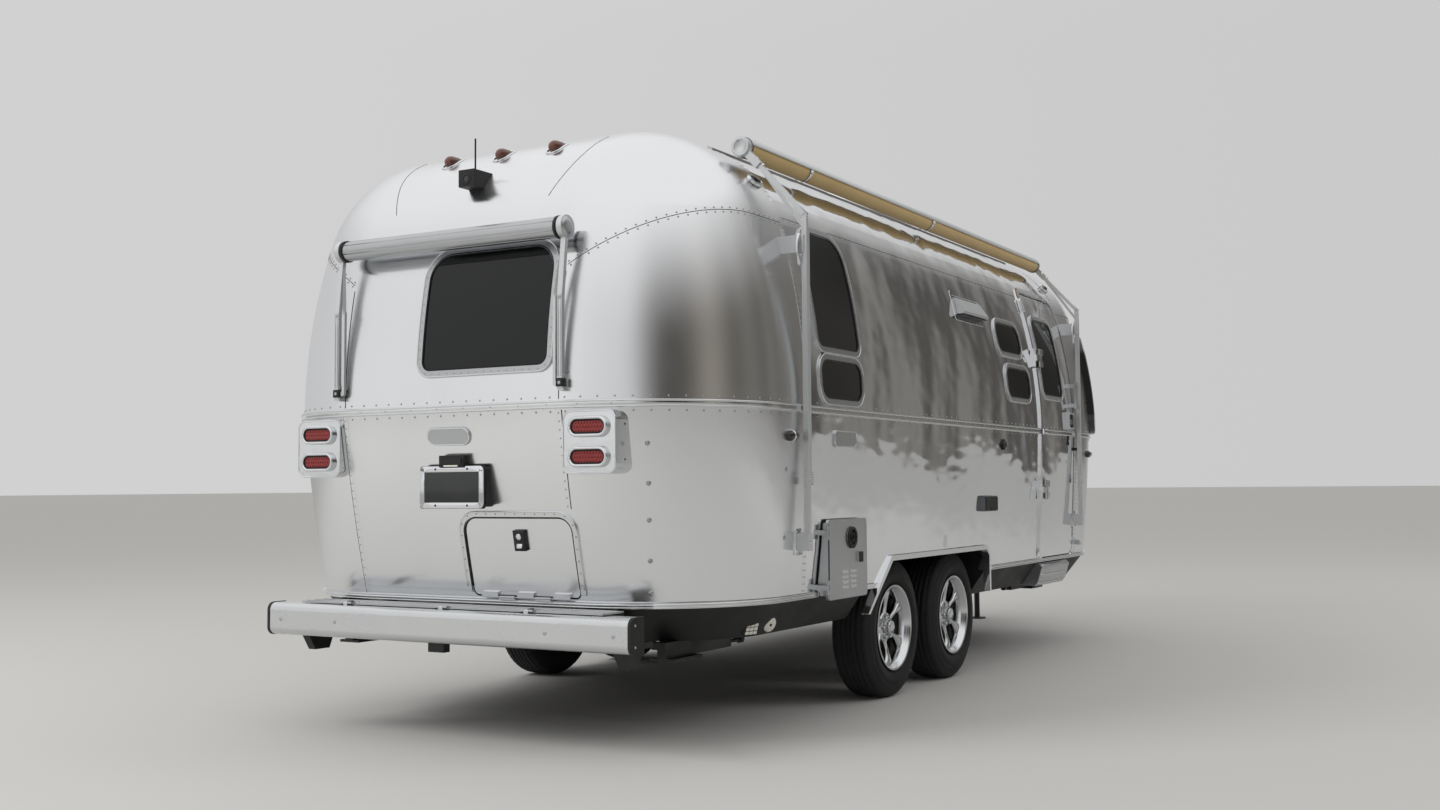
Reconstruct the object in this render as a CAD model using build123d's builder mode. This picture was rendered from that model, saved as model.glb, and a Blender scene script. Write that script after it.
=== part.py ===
# Travel caravan with a riveted aluminium body on a twin-axle chassis with an A-frame.
# Millimetres. X runs forward to the coupler, Y to the left, Z up from the road.
# A station is a distance forward of the rearmost skin, which lies on the belt line.
import os
from math import asin, cos, pi, radians, sin, sqrt

from build123d import *

os.makedirs("parts", exist_ok=True)

# body
rear = -3611.5
body_length = 6200.0
front = rear + body_length
body_mid = rear + body_length / 2
half_width = 1289.0
sill_z = 600.0
belt_z = 1463.0
lean = 130.0
shoulder_z = 2325.0
cap_depth = 715.0
wall = 48.0
floor_top = 660.0
wall_top = 2450.0
rear_cap_station = 980.0
front_cap_station = 5250.0
side_radius = ((shoulder_z - belt_z) ** 2 + lean**2) / (2 * lean)
lean_angle = asin((shoulder_z - belt_z) / side_radius)
shoulder_radius = (cap_depth - lean) / cos(lean_angle)
shoulder_centre_z = shoulder_z - shoulder_radius * sin(lean_angle)
roof_z = shoulder_centre_z + shoulder_radius
corner_y = half_width - cap_depth
rear_corner_x = rear + cap_depth
front_corner_x = front - cap_depth

# height, end tuck, side tuck, plan corner radius
lower_sections = [
    (sill_z, 170.0, 36.0, 632.0),
    (1030.0, 72.0, 15.0, 680.0),
    (belt_z, 0.0, 0.0, cap_depth),
]

# running gear
axle_stations = (2195.0, 3062.0)
hub_z = 365.0
tyre_radius = 365.0
tyre_width = 225.0
wheel_face = 1190.0
rim_radius = 208.0
lip_radius = 224.0
spindle_radius = 20.0
spindle_gap = 0.3

# entry door
door_rear = 4454.0
door_front = 5210.0
door_bottom = 632.0
door_top = 2396.0
door_gap = 7.0
door_hinge_heights = (1077.0, 1948.0)
door_hinge_stand = 37.0

# coupler
coupler_station = 7300.0
ball_radius = 29.4


def at(station):
    return rear + station


def keep(name, builder):
    builder.part.label = name
    export_step(builder.part, f"parts/{name}.step")


def tuck(z, column):
    # a parabola through the lower sections; column 1 is the ends, column 2 the sides
    low, middle, belt = lower_sections
    at_low = (z - middle[0]) * (z - belt[0]) / ((low[0] - middle[0]) * (low[0] - belt[0]))
    at_middle = (z - low[0]) * (z - belt[0]) / ((middle[0] - low[0]) * (middle[0] - belt[0]))
    return low[column] * at_low + middle[column] * at_middle


def skin_inset(z):
    # how far the side skin lies inside the half width at a height
    if z >= shoulder_z:
        rise = min(z - shoulder_centre_z, shoulder_radius)
        return cap_depth - sqrt(shoulder_radius**2 - rise**2)
    if z >= belt_z:
        return side_radius - sqrt(side_radius**2 - (z - belt_z) ** 2)
    return tuck(z, 2)


def cap_profile(plane, inset):
    # one wall section from the belt up to the roof, outward from a corner's axis
    side = side_radius - inset
    top = shoulder_radius - inset
    centre = cap_depth - side_radius
    knee = (centre + side * cos(lean_angle), belt_z + side * sin(lean_angle))
    half = lean_angle / 2
    bend = (lean_angle + pi / 2) / 2
    with BuildSketch(plane) as section:
        with BuildLine():
            Polyline((0, roof_z - inset), (0, belt_z), (cap_depth - inset, belt_z))
            ThreePointArc(
                (cap_depth - inset, belt_z),
                (centre + side * cos(half), belt_z + side * sin(half)),
                knee,
            )
            ThreePointArc(
                knee,
                (top * cos(bend), shoulder_centre_z + top * sin(bend)),
                (0, roof_z - inset),
            )
        make_face()
    return section.sketch


def hull(inset):
    # the whole body as one solid, its skin moved inward by the inset
    run = body_length - 2 * cap_depth
    with BuildPart() as shape:
        for z, end_tuck, side_tuck, corner in lower_sections:
            with BuildSketch(Plane.XY.offset(z)):
                with Locations((body_mid, 0)):
                    RectangleRounded(
                        body_length - 2 * (end_tuck + inset),
                        2 * (half_width - side_tuck - inset),
                        corner - inset,
                    )
        loft()
        with Locations((body_mid, 0, belt_z)):
            Box(run, 2 * corner_y, roof_z - inset - belt_z, align=(Align.CENTER, Align.CENTER, Align.MIN))
        for side in (1, -1):
            flank = Plane(origin=(rear_corner_x, side * corner_y, 0), x_dir=(0, side, 0), z_dir=(side, 0, 0))
            extrude(cap_profile(flank, inset), amount=run, dir=(1, 0, 0))
        for x, end in ((rear_corner_x, -1), (front_corner_x, 1)):
            tail = Plane(origin=(x, -corner_y, 0), x_dir=(end, 0, 0), z_dir=(0, -end, 0))
            extrude(cap_profile(tail, inset), amount=2 * corner_y, dir=(0, 1, 0))
            for side in (1, -1):
                turn = Plane(origin=(x, side * corner_y, 0), x_dir=(0, side, 0), z_dir=(side, 0, 0))
                centre = Axis((x, side * corner_y, 0), (0, 0, -end * side))
                revolve(cap_profile(turn, inset), axis=centre, revolution_arc=90)
    return shape.part


skin = {inset: hull(inset) for inset in (-45, -38, -12, -8, -3, 0, 4, wall)}
inner = skin[wall]


def block(x0, x1, y0, y1, z0, z1, mode=Mode.ADD):
    with Locations(((x0 + x1) / 2, (y0 + y1) / 2, (z0 + z1) / 2)):
        return Box(x1 - x0, y1 - y0, z1 - z0, mode=mode)


def beam(start, end, width, height):
    # a straight bar of rectangular section between two points
    axis = Vector(*end) - Vector(*start)
    across = Vector(0, 0, 1).cross(axis)
    if across.length < 1e-6:
        across = Vector(0, 1, 0)
    with BuildPart() as bar:
        with BuildSketch(Plane(origin=start, x_dir=across.normalized(), z_dir=axis.normalized())):
            Rectangle(width, height)
        extrude(amount=axis.length)
    return bar.part


def rod(start, end, radius):
    axis = Vector(*end) - Vector(*start)
    with BuildPart() as bar:
        with BuildSketch(Plane(origin=start, z_dir=axis.normalized())):
            Circle(radius)
        extrude(amount=axis.length)
    return bar.part


def facing(angle, x, y, z):
    # a plane looking outward at an angle from forward, its own Y upward
    a = radians(angle)
    return Plane(origin=(x, y, z), x_dir=(-sin(a), cos(a), 0), z_dir=(cos(a), sin(a), 0))


def panel_prism(plane, width, height, top_radius, bottom_radius, grow=0.0, depth=230.0):
    # a rounded panel's outline pushed both ways from its plane
    with BuildPart() as prism:
        with BuildSketch(plane) as outline:
            Rectangle(width + 2 * grow, height + 2 * grow)
            fillet(outline.vertices().group_by(Axis.Y)[-1], top_radius + grow)
            fillet(outline.vertices().group_by(Axis.Y)[0], bottom_radius + grow)
        extrude(amount=depth, both=True)
    return prism.part


def on_skin(prism, outer, under=0):
    # the part of a prism between two copies of the skin
    with BuildPart() as piece:
        add(prism)
        add(skin[outer], mode=Mode.INTERSECT)
        add(skin[under], mode=Mode.SUBTRACT)
    return piece.part


def bullet(x, y, z, half_length, radius):
    # a round-ended bar lying along the body, half sunk in the skin
    run = half_length - radius
    with BuildPart() as dome:
        with Locations(Plane(origin=(x - run, y, z), z_dir=(1, 0, 0)).location):
            Cylinder(radius, 2 * run, align=(Align.CENTER, Align.CENTER, Align.MIN))
        with Locations((x - run, y, z), (x + run, y, z)):
            Sphere(radius)
        add(skin[0], mode=Mode.SUBTRACT)
    return dome.part


# windows: angle of the wall's normal, middle x and y, glass z0 and z1, glass width, top and bottom radius
sleeve = 15.0
flange = 36.0
side_glass = [
    # station 0, station 1, z0, z1, top radius, bottom radius
    (1130.0, 1570.0, 1770.0, 2320.0, 120.0, 40.0),
    (1136.0, 1568.0, 1526.0, 1700.0, 60.0, 60.0),
    (3750.0, 4170.0, 1950.0, 2125.0, 66.0, 56.0),
    (3820.0, 4240.0, 1666.0, 1843.0, 60.0, 60.0),
]
window_table = []
for s0, s1, z0, z1, top_r, low_r in side_glass:
    for side in (-1, 1):
        window_table.append((90 * side, at((s0 + s1) / 2), side * half_width, z0, z1, s1 - s0, top_r, low_r))
window_table += [
    (180, rear, -200.0, 1640.0, 2160.0, 680.0, 110.0, 40.0),
    (0, front, 0.0, 1560.0, 2130.0, 1000.0, 90.0, 60.0),
    (-47, front_corner_x + 505, -corner_y - 520, 1560.0, 2130.0, 640.0, 90.0, 60.0),
    (47, front_corner_x + 505, corner_y + 520, 1560.0, 2130.0, 640.0, 90.0, 60.0),
]


def window(row, grow):
    angle, x, y, z0, z1, width, top_r, low_r = row
    return panel_prism(facing(angle, x, y, (z0 + z1) / 2), width, z1 - z0, top_r, low_r, grow)


window_holes = [window(row, sleeve) for row in window_table]

# entry door: hinge line, leaf and opening
def hinge_point(z):
    low_z, high_z = door_hinge_heights
    low = half_width - skin_inset(low_z) + door_hinge_stand
    high = half_width - skin_inset(high_z) + door_hinge_stand
    return (at(door_rear), -(low + (high - low) * (z - low_z) / (high_z - low_z)), z)


door_axis = (Vector(*hinge_point(2000)) - Vector(*hinge_point(1000))).normalized()


def door_region(grow):
    # what lies within reach of the hinge line, cut square to it, with rounded corners
    base = hinge_point(door_bottom - grow)
    height = (door_top - door_bottom + 2 * grow) / door_axis.Z
    with BuildPart() as region:
        with Locations(Plane(origin=base, z_dir=door_axis).location):
            Cylinder(
                door_front - door_rear + grow, height, align=(Align.CENTER, Align.CENTER, Align.MIN)
            )
        rims = region.edges().filter_by(GeomType.CIRCLE).sort_by(Axis.Z)
        fillet(rims[-1], 180 + grow)
        fillet(region.edges().filter_by(GeomType.CIRCLE).sort_by(Axis.Z)[0], 90 + grow)
        middle = (door_bottom + door_top) / 2
        with BuildSketch(facing(-90, at(door_rear + 8 - grow) + 600, -half_width, middle)):
            RectangleRounded(1200, door_top - door_bottom + 6 + 2 * grow, 70 + grow)
        extrude(amount=300, both=True, mode=Mode.INTERSECT)
    return region.part


door_leaf_region = door_region(0)
door_hole = door_region(door_gap)

# rear hatch: bottom hinge line, leaf and opening
hatch_axis_x = rear + 146.0
hatch_axis_z = 634.0
hatch_reach = 352.0
hatch_y0 = -608.0
hatch_y1 = -34.0
hatch_gap = 7.0


def hatch_region(grow):
    y0 = hatch_y0 - grow
    y1 = hatch_y1 + grow
    with BuildPart() as region:
        with Locations(Plane(origin=(hatch_axis_x, y0, hatch_axis_z), z_dir=(0, 1, 0)).location):
            Cylinder(hatch_reach + grow, y1 - y0, align=(Align.CENTER, Align.CENTER, Align.MIN))
        fillet(region.edges().filter_by(GeomType.CIRCLE), 62 + grow)
        with BuildSketch(facing(180, rear + 160, (y0 + y1) / 2, hatch_axis_z + 8 - grow + 350)):
            RectangleRounded(y1 - y0, 700, 24 + grow)
        extrude(amount=200, both=True, mode=Mode.INTERSECT)
    return region.part


hatch_hole = hatch_region(hatch_gap)

# wheel arches, station and height, seen from the side
arch = [(1684.0, 440.0), (1684.0, 482.0), (1972.0, 727.0), (3385.0, 727.0), (3430.0, 690.0), (3430.0, 440.0)]


def arch_prism(grow, y0, y1):
    low = [(s - grow, z) for s, z in arch[:2]]
    rise = [(arch[2][0] - 0.55 * grow, arch[2][1] + grow)]
    fall = [(arch[3][0] + 0.3 * grow, arch[3][1] + grow), (arch[4][0] + grow, arch[4][1] + 0.3 * grow)]
    end = [(arch[5][0] + grow, arch[5][1])]
    with BuildPart() as prism:
        for side in (-1, 1):
            with BuildSketch(Plane(origin=(0, side * y0, 0), x_dir=(1, 0, 0), z_dir=(0, -1, 0))):
                Polygon(*[(at(s), z) for s, z in low + rise + fall + end], align=None)
            extrude(amount=-side * (y1 - y0))
    return prism.part


arch_hole = arch_prism(0, 1150, 1330)
well_station_0 = 1690.0
well_station_1 = 3460.0
well_inner_y = 885.0
well_top = 890.0
well_sheet = 6.0

# heater door
heater_s0 = 1161.0
heater_s1 = 1600.0
heater_z0 = 580.0
heater_z1 = 955.0
heater_face_y = 1296.0
heater_leaf = 12.0
with BuildPart() as heater_hole_part:
    block(at(heater_s0 + 50), at(heater_s1 - 50), -1330, -1150, 665, heater_z1 - 40)
heater_hole = heater_hole_part.part

# body shell in panels
with BuildPart() as kerb_wall:
    block(at(rear_cap_station), at(front_cap_station), -1400, -650, sill_z, wall_top)
    add(skin[0], mode=Mode.INTERSECT)
    add(inner, mode=Mode.SUBTRACT)
    add([hole for hole, row in zip(window_holes, window_table) if row[0] == -90], mode=Mode.SUBTRACT)
    add([door_hole, arch_hole, heater_hole], mode=Mode.SUBTRACT)
keep("kerb_wall", kerb_wall)

with BuildPart() as street_wall:
    block(at(rear_cap_station), at(front_cap_station), 650, 1400, sill_z, wall_top)
    add(skin[0], mode=Mode.INTERSECT)
    add(inner, mode=Mode.SUBTRACT)
    add([hole for hole, row in zip(window_holes, window_table) if row[0] == 90], mode=Mode.SUBTRACT)
    add(arch_hole, mode=Mode.SUBTRACT)
keep("street_wall", street_wall)

with BuildPart() as roof:
    block(at(rear_cap_station), at(front_cap_station), -1400, 1400, wall_top, roof_z + 50)
    add(skin[0], mode=Mode.INTERSECT)
    add(inner, mode=Mode.SUBTRACT)
keep("roof", roof)

with BuildPart() as rear_cap:
    block(rear - 50, at(rear_cap_station), -1400, 1400, sill_z, roof_z + 50)
    add(skin[0], mode=Mode.INTERSECT)
    add(inner, mode=Mode.SUBTRACT)
    add(window_holes[8], mode=Mode.SUBTRACT)
    add(hatch_hole, mode=Mode.SUBTRACT)
keep("rear_cap", rear_cap)

with BuildPart() as front_cap:
    block(at(front_cap_station), front + 50, -1400, 1400, sill_z, roof_z + 50)
    add(skin[0], mode=Mode.INTERSECT)
    add(inner, mode=Mode.SUBTRACT)
    add(window_holes[9:], mode=Mode.SUBTRACT)
keep("front_cap", front_cap)

with BuildPart() as floor:
    block(rear - 50, front + 50, -1400, 1400, sill_z, floor_top)
    add(inner, mode=Mode.INTERSECT)
    for side in (-1, 1):
        y0, y1 = sorted((side * well_inner_y, side * 1400))
        block(at(well_station_0), at(well_station_1), y0, y1, sill_z - 10, floor_top + 10, mode=Mode.SUBTRACT)
    block(
        at(door_rear - 20), at(door_front + 20), -1400, -1200, sill_z - 10, floor_top + 10, mode=Mode.SUBTRACT
    )
    block(rear, rear + 250, hatch_y0 - 12, hatch_y1 + 12, hatch_axis_z + 2, floor_top + 10, mode=Mode.SUBTRACT)
keep("floor", floor)

# mouldings round the body
with BuildPart() as mouldings:
    block(rear - 50, front + 50, -1400, 1400, belt_z - 18, belt_z + 18)
    block(rear - 50, front + 50, -1400, 1400, sill_z, sill_z + 24)
    add(skin[-12], mode=Mode.INTERSECT)
    add(skin[0], mode=Mode.SUBTRACT)
    add(arch_prism(26, 1150, 1400), mode=Mode.SUBTRACT)
    block(at(door_rear - 46), at(door_front + 8), -1400, -1100, belt_z - 30, belt_z + 30, mode=Mode.SUBTRACT)
    block(at(heater_s0 - 30), at(heater_s1 + 10), -1400, -1100, sill_z - 5, sill_z + 40, mode=Mode.SUBTRACT)
    with BuildPart(mode=Mode.PRIVATE) as door_surround:
        block(at(door_rear - 60), at(door_front - 30), -1400, -1000, sill_z + 24, roof_z)
        add(door_region(42), mode=Mode.INTERSECT)
        add(skin[-12], mode=Mode.INTERSECT)
        add(skin[0], mode=Mode.SUBTRACT)
        add(door_region(14), mode=Mode.SUBTRACT)
    add(door_surround.part)
keep("mouldings", mouldings)

with BuildPart() as arch_trims:
    add(arch_prism(26, 1200, 1276))
    add(arch_prism(0, 1150, 1330), mode=Mode.SUBTRACT)
    add(skin[0], mode=Mode.SUBTRACT)
    block(at(1500), at(3600), -1400, 1400, 300, 478, mode=Mode.SUBTRACT)
    block(at(1500), at(3600), -1236, 1236, 300, sill_z, mode=Mode.SUBTRACT)
keep("arch_trims", arch_trims)

# belly pan, wheel wells and chassis under the floor
pan_z = 450.0
pan_sheet = 4.0


def pan_block(inset):
    with BuildPart() as tray:
        for z, s0, s1, half, corner in (
            (sill_z, 200.0, 6000.0, 1236.0, 560.0),
            (pan_z + inset, 330.0, 5870.0, 1130.0, 480.0),
        ):
            with BuildSketch(Plane.XY.offset(z)):
                with Locations((at((s0 + s1) / 2), 0)):
                    RectangleRounded(s1 - s0 - 2 * inset, 2 * half - 2 * inset, corner - inset)
        loft()
    return tray.part


rail_y = 760.0
rail_width = 56.0
rail_z0 = 466.0
rail_z1 = sill_z
aframe_start = 4800.0
aframe_end = 6970.0
aframe_end_y = 70.0
aframe_z = 530.0
aframe_height = 127.0
jack_station = 6720.0
jack_radius = 29.0
with BuildPart() as chassis_frame:
    for side in (-1, 1):
        y0, y1 = side * rail_y - rail_width / 2, side * rail_y + rail_width / 2
        block(at(160), at(5500), y0, y1, rail_z0, rail_z1)
        start = (at(aframe_start), side * rail_y, aframe_z)
        add(beam(start, (at(aframe_end), side * aframe_end_y, aframe_z), rail_width, aframe_height))
    for station in (700.0, 1650.0, 3560.0, 4600.0, 5460.0, 6170.0):
        half = min(rail_y, rail_y + (aframe_end_y - rail_y) * (station - aframe_start) / (aframe_end - aframe_start))
        block(at(station), at(station + 40), -half, half, rail_z0 + 10, rail_z1 - 10)
    for side in (-1, 1):
        y0, y1 = sorted((side * 560, side * 620))
        block(at(-40), at(735), y0, y1, 445, 490)
    block(at(6600), at(6880), -190, 190, aframe_z + 58, aframe_z + 70)
    block(at(6880), at(6990), -110, 110, aframe_z - 60, aframe_z + 63.5)
    with Locations((at(jack_station), 0, 0)):
        Cylinder(jack_radius, 1400, mode=Mode.SUBTRACT)
keep("chassis_frame", chassis_frame)

with BuildPart() as belly_pan:
    add(pan_block(0))
    add(pan_block(pan_sheet), mode=Mode.SUBTRACT)
    for side in (-1, 1):
        y0, y1 = sorted((side * well_inner_y, side * 1400))
        block(at(well_station_0), at(well_station_1), y0, y1, 400, 700, mode=Mode.SUBTRACT)
    add(chassis_frame.part, mode=Mode.SUBTRACT)
keep("belly_pan", belly_pan)

with BuildPart() as wheel_wells:
    for side in (-1, 1):
        y0, y1 = sorted((side * well_inner_y, side * 1300))
        block(at(well_station_0), at(well_station_1), y0, y1, 455, well_top)
    with BuildPart(mode=Mode.PRIVATE) as clear:
        for side in (-1, 1):
            y0, y1 = sorted((side * (well_inner_y + well_sheet), side * 1400))
            block(
                at(well_station_0 + well_sheet), at(well_station_1 - well_sheet), y0, y1, 400, well_top - well_sheet
            )
    add(clear.part, mode=Mode.SUBTRACT)
    with BuildPart(mode=Mode.PRIVATE) as room:
        add(inner)
        add(pan_block(0))
    add(room.part, mode=Mode.INTERSECT)
keep("wheel_wells", wheel_wells)

# suspension arms, axle tubes and spindles
with BuildPart() as axles:
    for station in axle_stations:
        pivot = station + 150
        block(at(pivot - 38), at(pivot + 38), -rail_y + 60, rail_y - 60, 372, pan_z)
        for side in (-1, 1):
            add(rod((at(pivot), side * 640, 408), (at(pivot), side * 896, 408), 34))
            add(beam((at(pivot + 30), side * 880, 408), (at(station - 30), side * 880, hub_z - 4), 26, 74))
            add(rod((at(station), side * 868, hub_z), (at(station), side * 1090, hub_z), spindle_radius))
            add(rod((at(station), side * 893, hub_z), (at(station), side * 905, hub_z), 120))
keep("axles", axles)

# wheels, in radius and distance outward from the tyre's inner face
tyre_inner = wheel_face - tyre_width
rim_section = [
    (221.0, 4.0), (221.0, 13.0), (204.0, 19.0), (204.0, 206.0), (221.0, 212.0), (224.0, 221.0), (213.0, 221.0),
    (194.0, 190.0), (190.0, 150.0), (190.0, 60.0), (198.0, 20.0), (211.0, 4.0),
]
wheels = []
for axle, station in zip(("rear", "front"), axle_stations):
    for name, side in (("kerb", -1), ("street", 1)):
        wheels.append((f"{name}_{axle}", side, at(station)))

for name, side, x in wheels:
    hub = Plane(origin=(x, side * tyre_inner, hub_z), x_dir=(1, 0, 0), z_dir=(0, side, 0))
    section = Plane(origin=(x, side * tyre_inner, hub_z), x_dir=(0, 0, 1), z_dir=(-side, 0, 0))
    axis = Axis((x, 0, hub_z), (0, 1, 0))
    with BuildPart() as rim:
        with BuildSketch(section):
            Polygon(*rim_section, align=None)
        revolve(axis=axis)
        with BuildSketch(hub.offset(160)):
            Circle(191.5)
            with BuildSketch(mode=Mode.PRIVATE) as gap:
                Polygon((84, -26), (84, 26), (174, 62), (180, 0), (174, -62), align=None)
                fillet(gap.vertices(), 12)
            with PolarLocations(0, 6, 30):
                add(gap.sketch, mode=Mode.SUBTRACT)
        extrude(amount=26)
        with BuildSketch(hub.offset(-48)):
            Circle(128)
        extrude(amount=196)
        with BuildSketch(hub.offset(140)):
            Circle(72)
        extrude(amount=54)
        with BuildSketch(hub.offset(190)):
            Circle(40)
        extrude(amount=20)
        with BuildSketch(hub.offset(-48)):
            Circle(spindle_radius + spindle_gap)
        extrude(amount=180, mode=Mode.SUBTRACT)
    keep(f"rim_{name}", rim)
    with BuildPart() as tyre:
        with BuildSketch(section):
            with BuildLine():
                Polyline((228, 14), (226, 20), (204, 20), (204, 205), (226, 205), (228, 211))
                ThreePointArc((228, 211), (290, 225), (347, 208))
                ThreePointArc((347, 208), (360, 196), (tyre_radius, 176))
                Line((tyre_radius, 176), (tyre_radius, 49))
                ThreePointArc((tyre_radius, 49), (360, 29), (347, 17))
                ThreePointArc((347, 17), (290, 0), (228, 14))
            make_face()
        revolve(axis=axis)
    keep(f"tyre_{name}", tyre)

# window frames and glass
with BuildPart() as window_frames:
    for row, hole in zip(window_table, window_holes):
        pane = window(row, 0)
        with BuildPart() as frame:
            add(on_skin(window(row, flange), -8))
            with BuildPart(mode=Mode.PRIVATE) as lining:
                add(hole)
                add(skin[0], mode=Mode.INTERSECT)
                add(inner, mode=Mode.SUBTRACT)
            add(lining.part)
            add(pane, mode=Mode.SUBTRACT)
        add(frame.part)
keep("window_frames", window_frames)

with BuildPart() as window_glass:
    for row in window_table:
        add(on_skin(window(row, 0), -3, 4))
keep("window_glass", window_glass)

# covers over the front corner windows
with BuildPart() as stone_guards:
    for row in window_table[10:]:
        with BuildPart() as guard:
            add(on_skin(window(row, 78), -45))
            with BuildPart(mode=Mode.PRIVATE) as hollow:
                add(window(row, 62))
                add(skin[-38], mode=Mode.INTERSECT)
            add(hollow.part, mode=Mode.SUBTRACT)
        add(guard.part)
keep("stone_guards", stone_guards)


pin_gap = 0.08


def knuckles(origin, direction, radius, spans):
    # hinge barrels along a line, each from one distance to another
    direction = Vector(*direction).normalized()
    with BuildPart() as barrels:
        for near, far in spans:
            a = Vector(*origin) + direction * near
            b = Vector(*origin) + direction * far
            add(rod((a.X, a.Y, a.Z), (b.X, b.Y, b.Z), radius))
    return barrels.part


# entry door with its window, lock and hinge straps
door_row = (-90, at(4751), -half_width, 1715.0, 2218.0, 400.0, 60.0, 40.0)
with BuildPart() as entry_door:
    add(door_leaf_region)
    add(skin[0], mode=Mode.INTERSECT)
    add(inner, mode=Mode.SUBTRACT)
    with BuildPart(mode=Mode.PRIVATE) as door_belt:
        block(at(door_rear + 46), at(door_front - 4), -1400, -1200, belt_z - 18, belt_z + 18)
        add(skin[-12], mode=Mode.INTERSECT)
        add(door_leaf_region, mode=Mode.INTERSECT)
        add(skin[0], mode=Mode.SUBTRACT)
    add(door_belt.part)
    add(window(door_row, sleeve), mode=Mode.SUBTRACT)
keep("entry_door", entry_door)

with BuildPart() as door_frame:
    add(on_skin(window(door_row, flange), -8))
    with BuildPart(mode=Mode.PRIVATE) as lining:
        add(window(door_row, sleeve))
        add(skin[0], mode=Mode.INTERSECT)
        add(inner, mode=Mode.SUBTRACT)
    add(lining.part)
    add(window(door_row, 0), mode=Mode.SUBTRACT)
keep("door_frame", door_frame)

with BuildPart() as door_glass:
    add(on_skin(window(door_row, 0), -3, 4))
keep("door_glass", door_glass)

with BuildPart() as door_lock:
    block(at(5024), at(5146), -half_width - 22, -1200, 1492, 1612)
    block(at(5040), at(5130), -half_width - 30, -half_width - 8, 1506, 1598, mode=Mode.SUBTRACT)
    block(at(5050), at(5120), -half_width - 18, -half_width, 1530, 1560)
    block(at(5122), at(5146), -half_width - 34, -1200, 1650, 1676)
    block(at(5122), at(5146), -half_width - 34, -1200, 1788, 1814)
    block(at(5122), at(5146), -half_width - 48, -half_width - 32, 1640, 1822)
    add(skin[0], mode=Mode.SUBTRACT)
keep("door_lock", door_lock)


def hinge_leaves(moving):
    # both door hinges: the fixed or the moving half of each
    with BuildPart() as halves:
        for z in door_hinge_heights:
            spans = ((-60, -21), (21, 60)) if moving else ((-20, 20),)
            base = hinge_point(z)
            add(knuckles(base, tuple(door_axis), 9, spans))
            for near, far in spans:
                z0 = z + near * door_axis.Z
                z1 = z + far * door_axis.Z
                y = base[1]
                if moving:
                    x0, x1, foot = at(door_rear), at(door_rear + 56), at(door_rear + 34)
                else:
                    x0, x1, foot = at(door_rear - 78), at(door_rear), at(door_rear - 78)
                block(x0, x1, y - 9, y - 1, z0, z1)
                block(foot, foot + 22, y - 9, -1200, z0, z1)
            ends = ((-60, 60),)
            if moving:
                add(knuckles(base, tuple(door_axis), 4 + pin_gap, ends), mode=Mode.SUBTRACT)
            else:
                add(knuckles(base, tuple(door_axis), 4, ends))
        add(skin[0], mode=Mode.SUBTRACT)
    return halves


door_hinges = hinge_leaves(True)
keep("door_hinges", door_hinges)
door_hinge_mounts = hinge_leaves(False)
keep("door_hinge_mounts", door_hinge_mounts)

# heater door, its frame on the skin and the heater behind the wall
heater_axis = (at(heater_s0 - 10), -heater_face_y - 4)
with BuildPart() as heater_door:
    with BuildSketch(facing(-90, at((heater_s0 + heater_s1) / 2), -heater_face_y, (heater_z0 + heater_z1) / 2)):
        RectangleRounded(heater_s1 - heater_s0, heater_z1 - heater_z0, 22)
    extrude(amount=-heater_leaf)
    for z in (heater_z0 + 60, heater_z1 - 60):
        add(knuckles((*heater_axis, z), (0, 0, 1), 6, ((-34, -13), (13, 34))))
        for near, far in ((-34, -13), (13, 34)):
            block(heater_axis[0], at(heater_s0 + 12), -heater_face_y - 7, -heater_face_y, z + near, z + far)
        add(knuckles((*heater_axis, z), (0, 0, 1), 3 + pin_gap, ((-34, 34),)), mode=Mode.SUBTRACT)
    block(at(1490), at(1534), -heater_face_y - 9, -heater_face_y, 745, 793)
    with Locations(facing(-90, at(1423), -heater_face_y, 865).location):
        Cylinder(50, 16)
        Cylinder(36, 40, mode=Mode.SUBTRACT)
    with Locations(facing(-90, at(1423), -heater_face_y + 8, 865).location):
        Cylinder(50, 8)
keep("heater_door", heater_door)

with BuildPart() as heater:
    block(at(heater_s0 + 18), at(heater_s1 - 18), -heater_face_y + heater_leaf + 6, -1215, sill_z, heater_z1 - 16)
    block(at(heater_s0 + 50), at(heater_s1 - 50), -1400, -1150, sill_z - 5, heater_z1 - 40, mode=Mode.SUBTRACT)
    for z in (heater_z0 + 60, heater_z1 - 60):
        add(knuckles((*heater_axis, z), (0, 0, 1), 6, ((-12, 12),)))
        add(knuckles((*heater_axis, z), (0, 0, 1), 3, ((-34, 34),)))
        block(heater_axis[0] - 10, heater_axis[0], heater_axis[1] - 5, -1200, z - 12, z + 12)
    add(skin[0], mode=Mode.SUBTRACT)
    with BuildPart(mode=Mode.PRIVATE) as casing:
        block(at(heater_s0 + 30), at(heater_s1 - 30), -1400, -820, floor_top, heater_z1 - 20)
        add(inner, mode=Mode.INTERSECT)
    add(casing.part)
keep("heater", heater)

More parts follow.
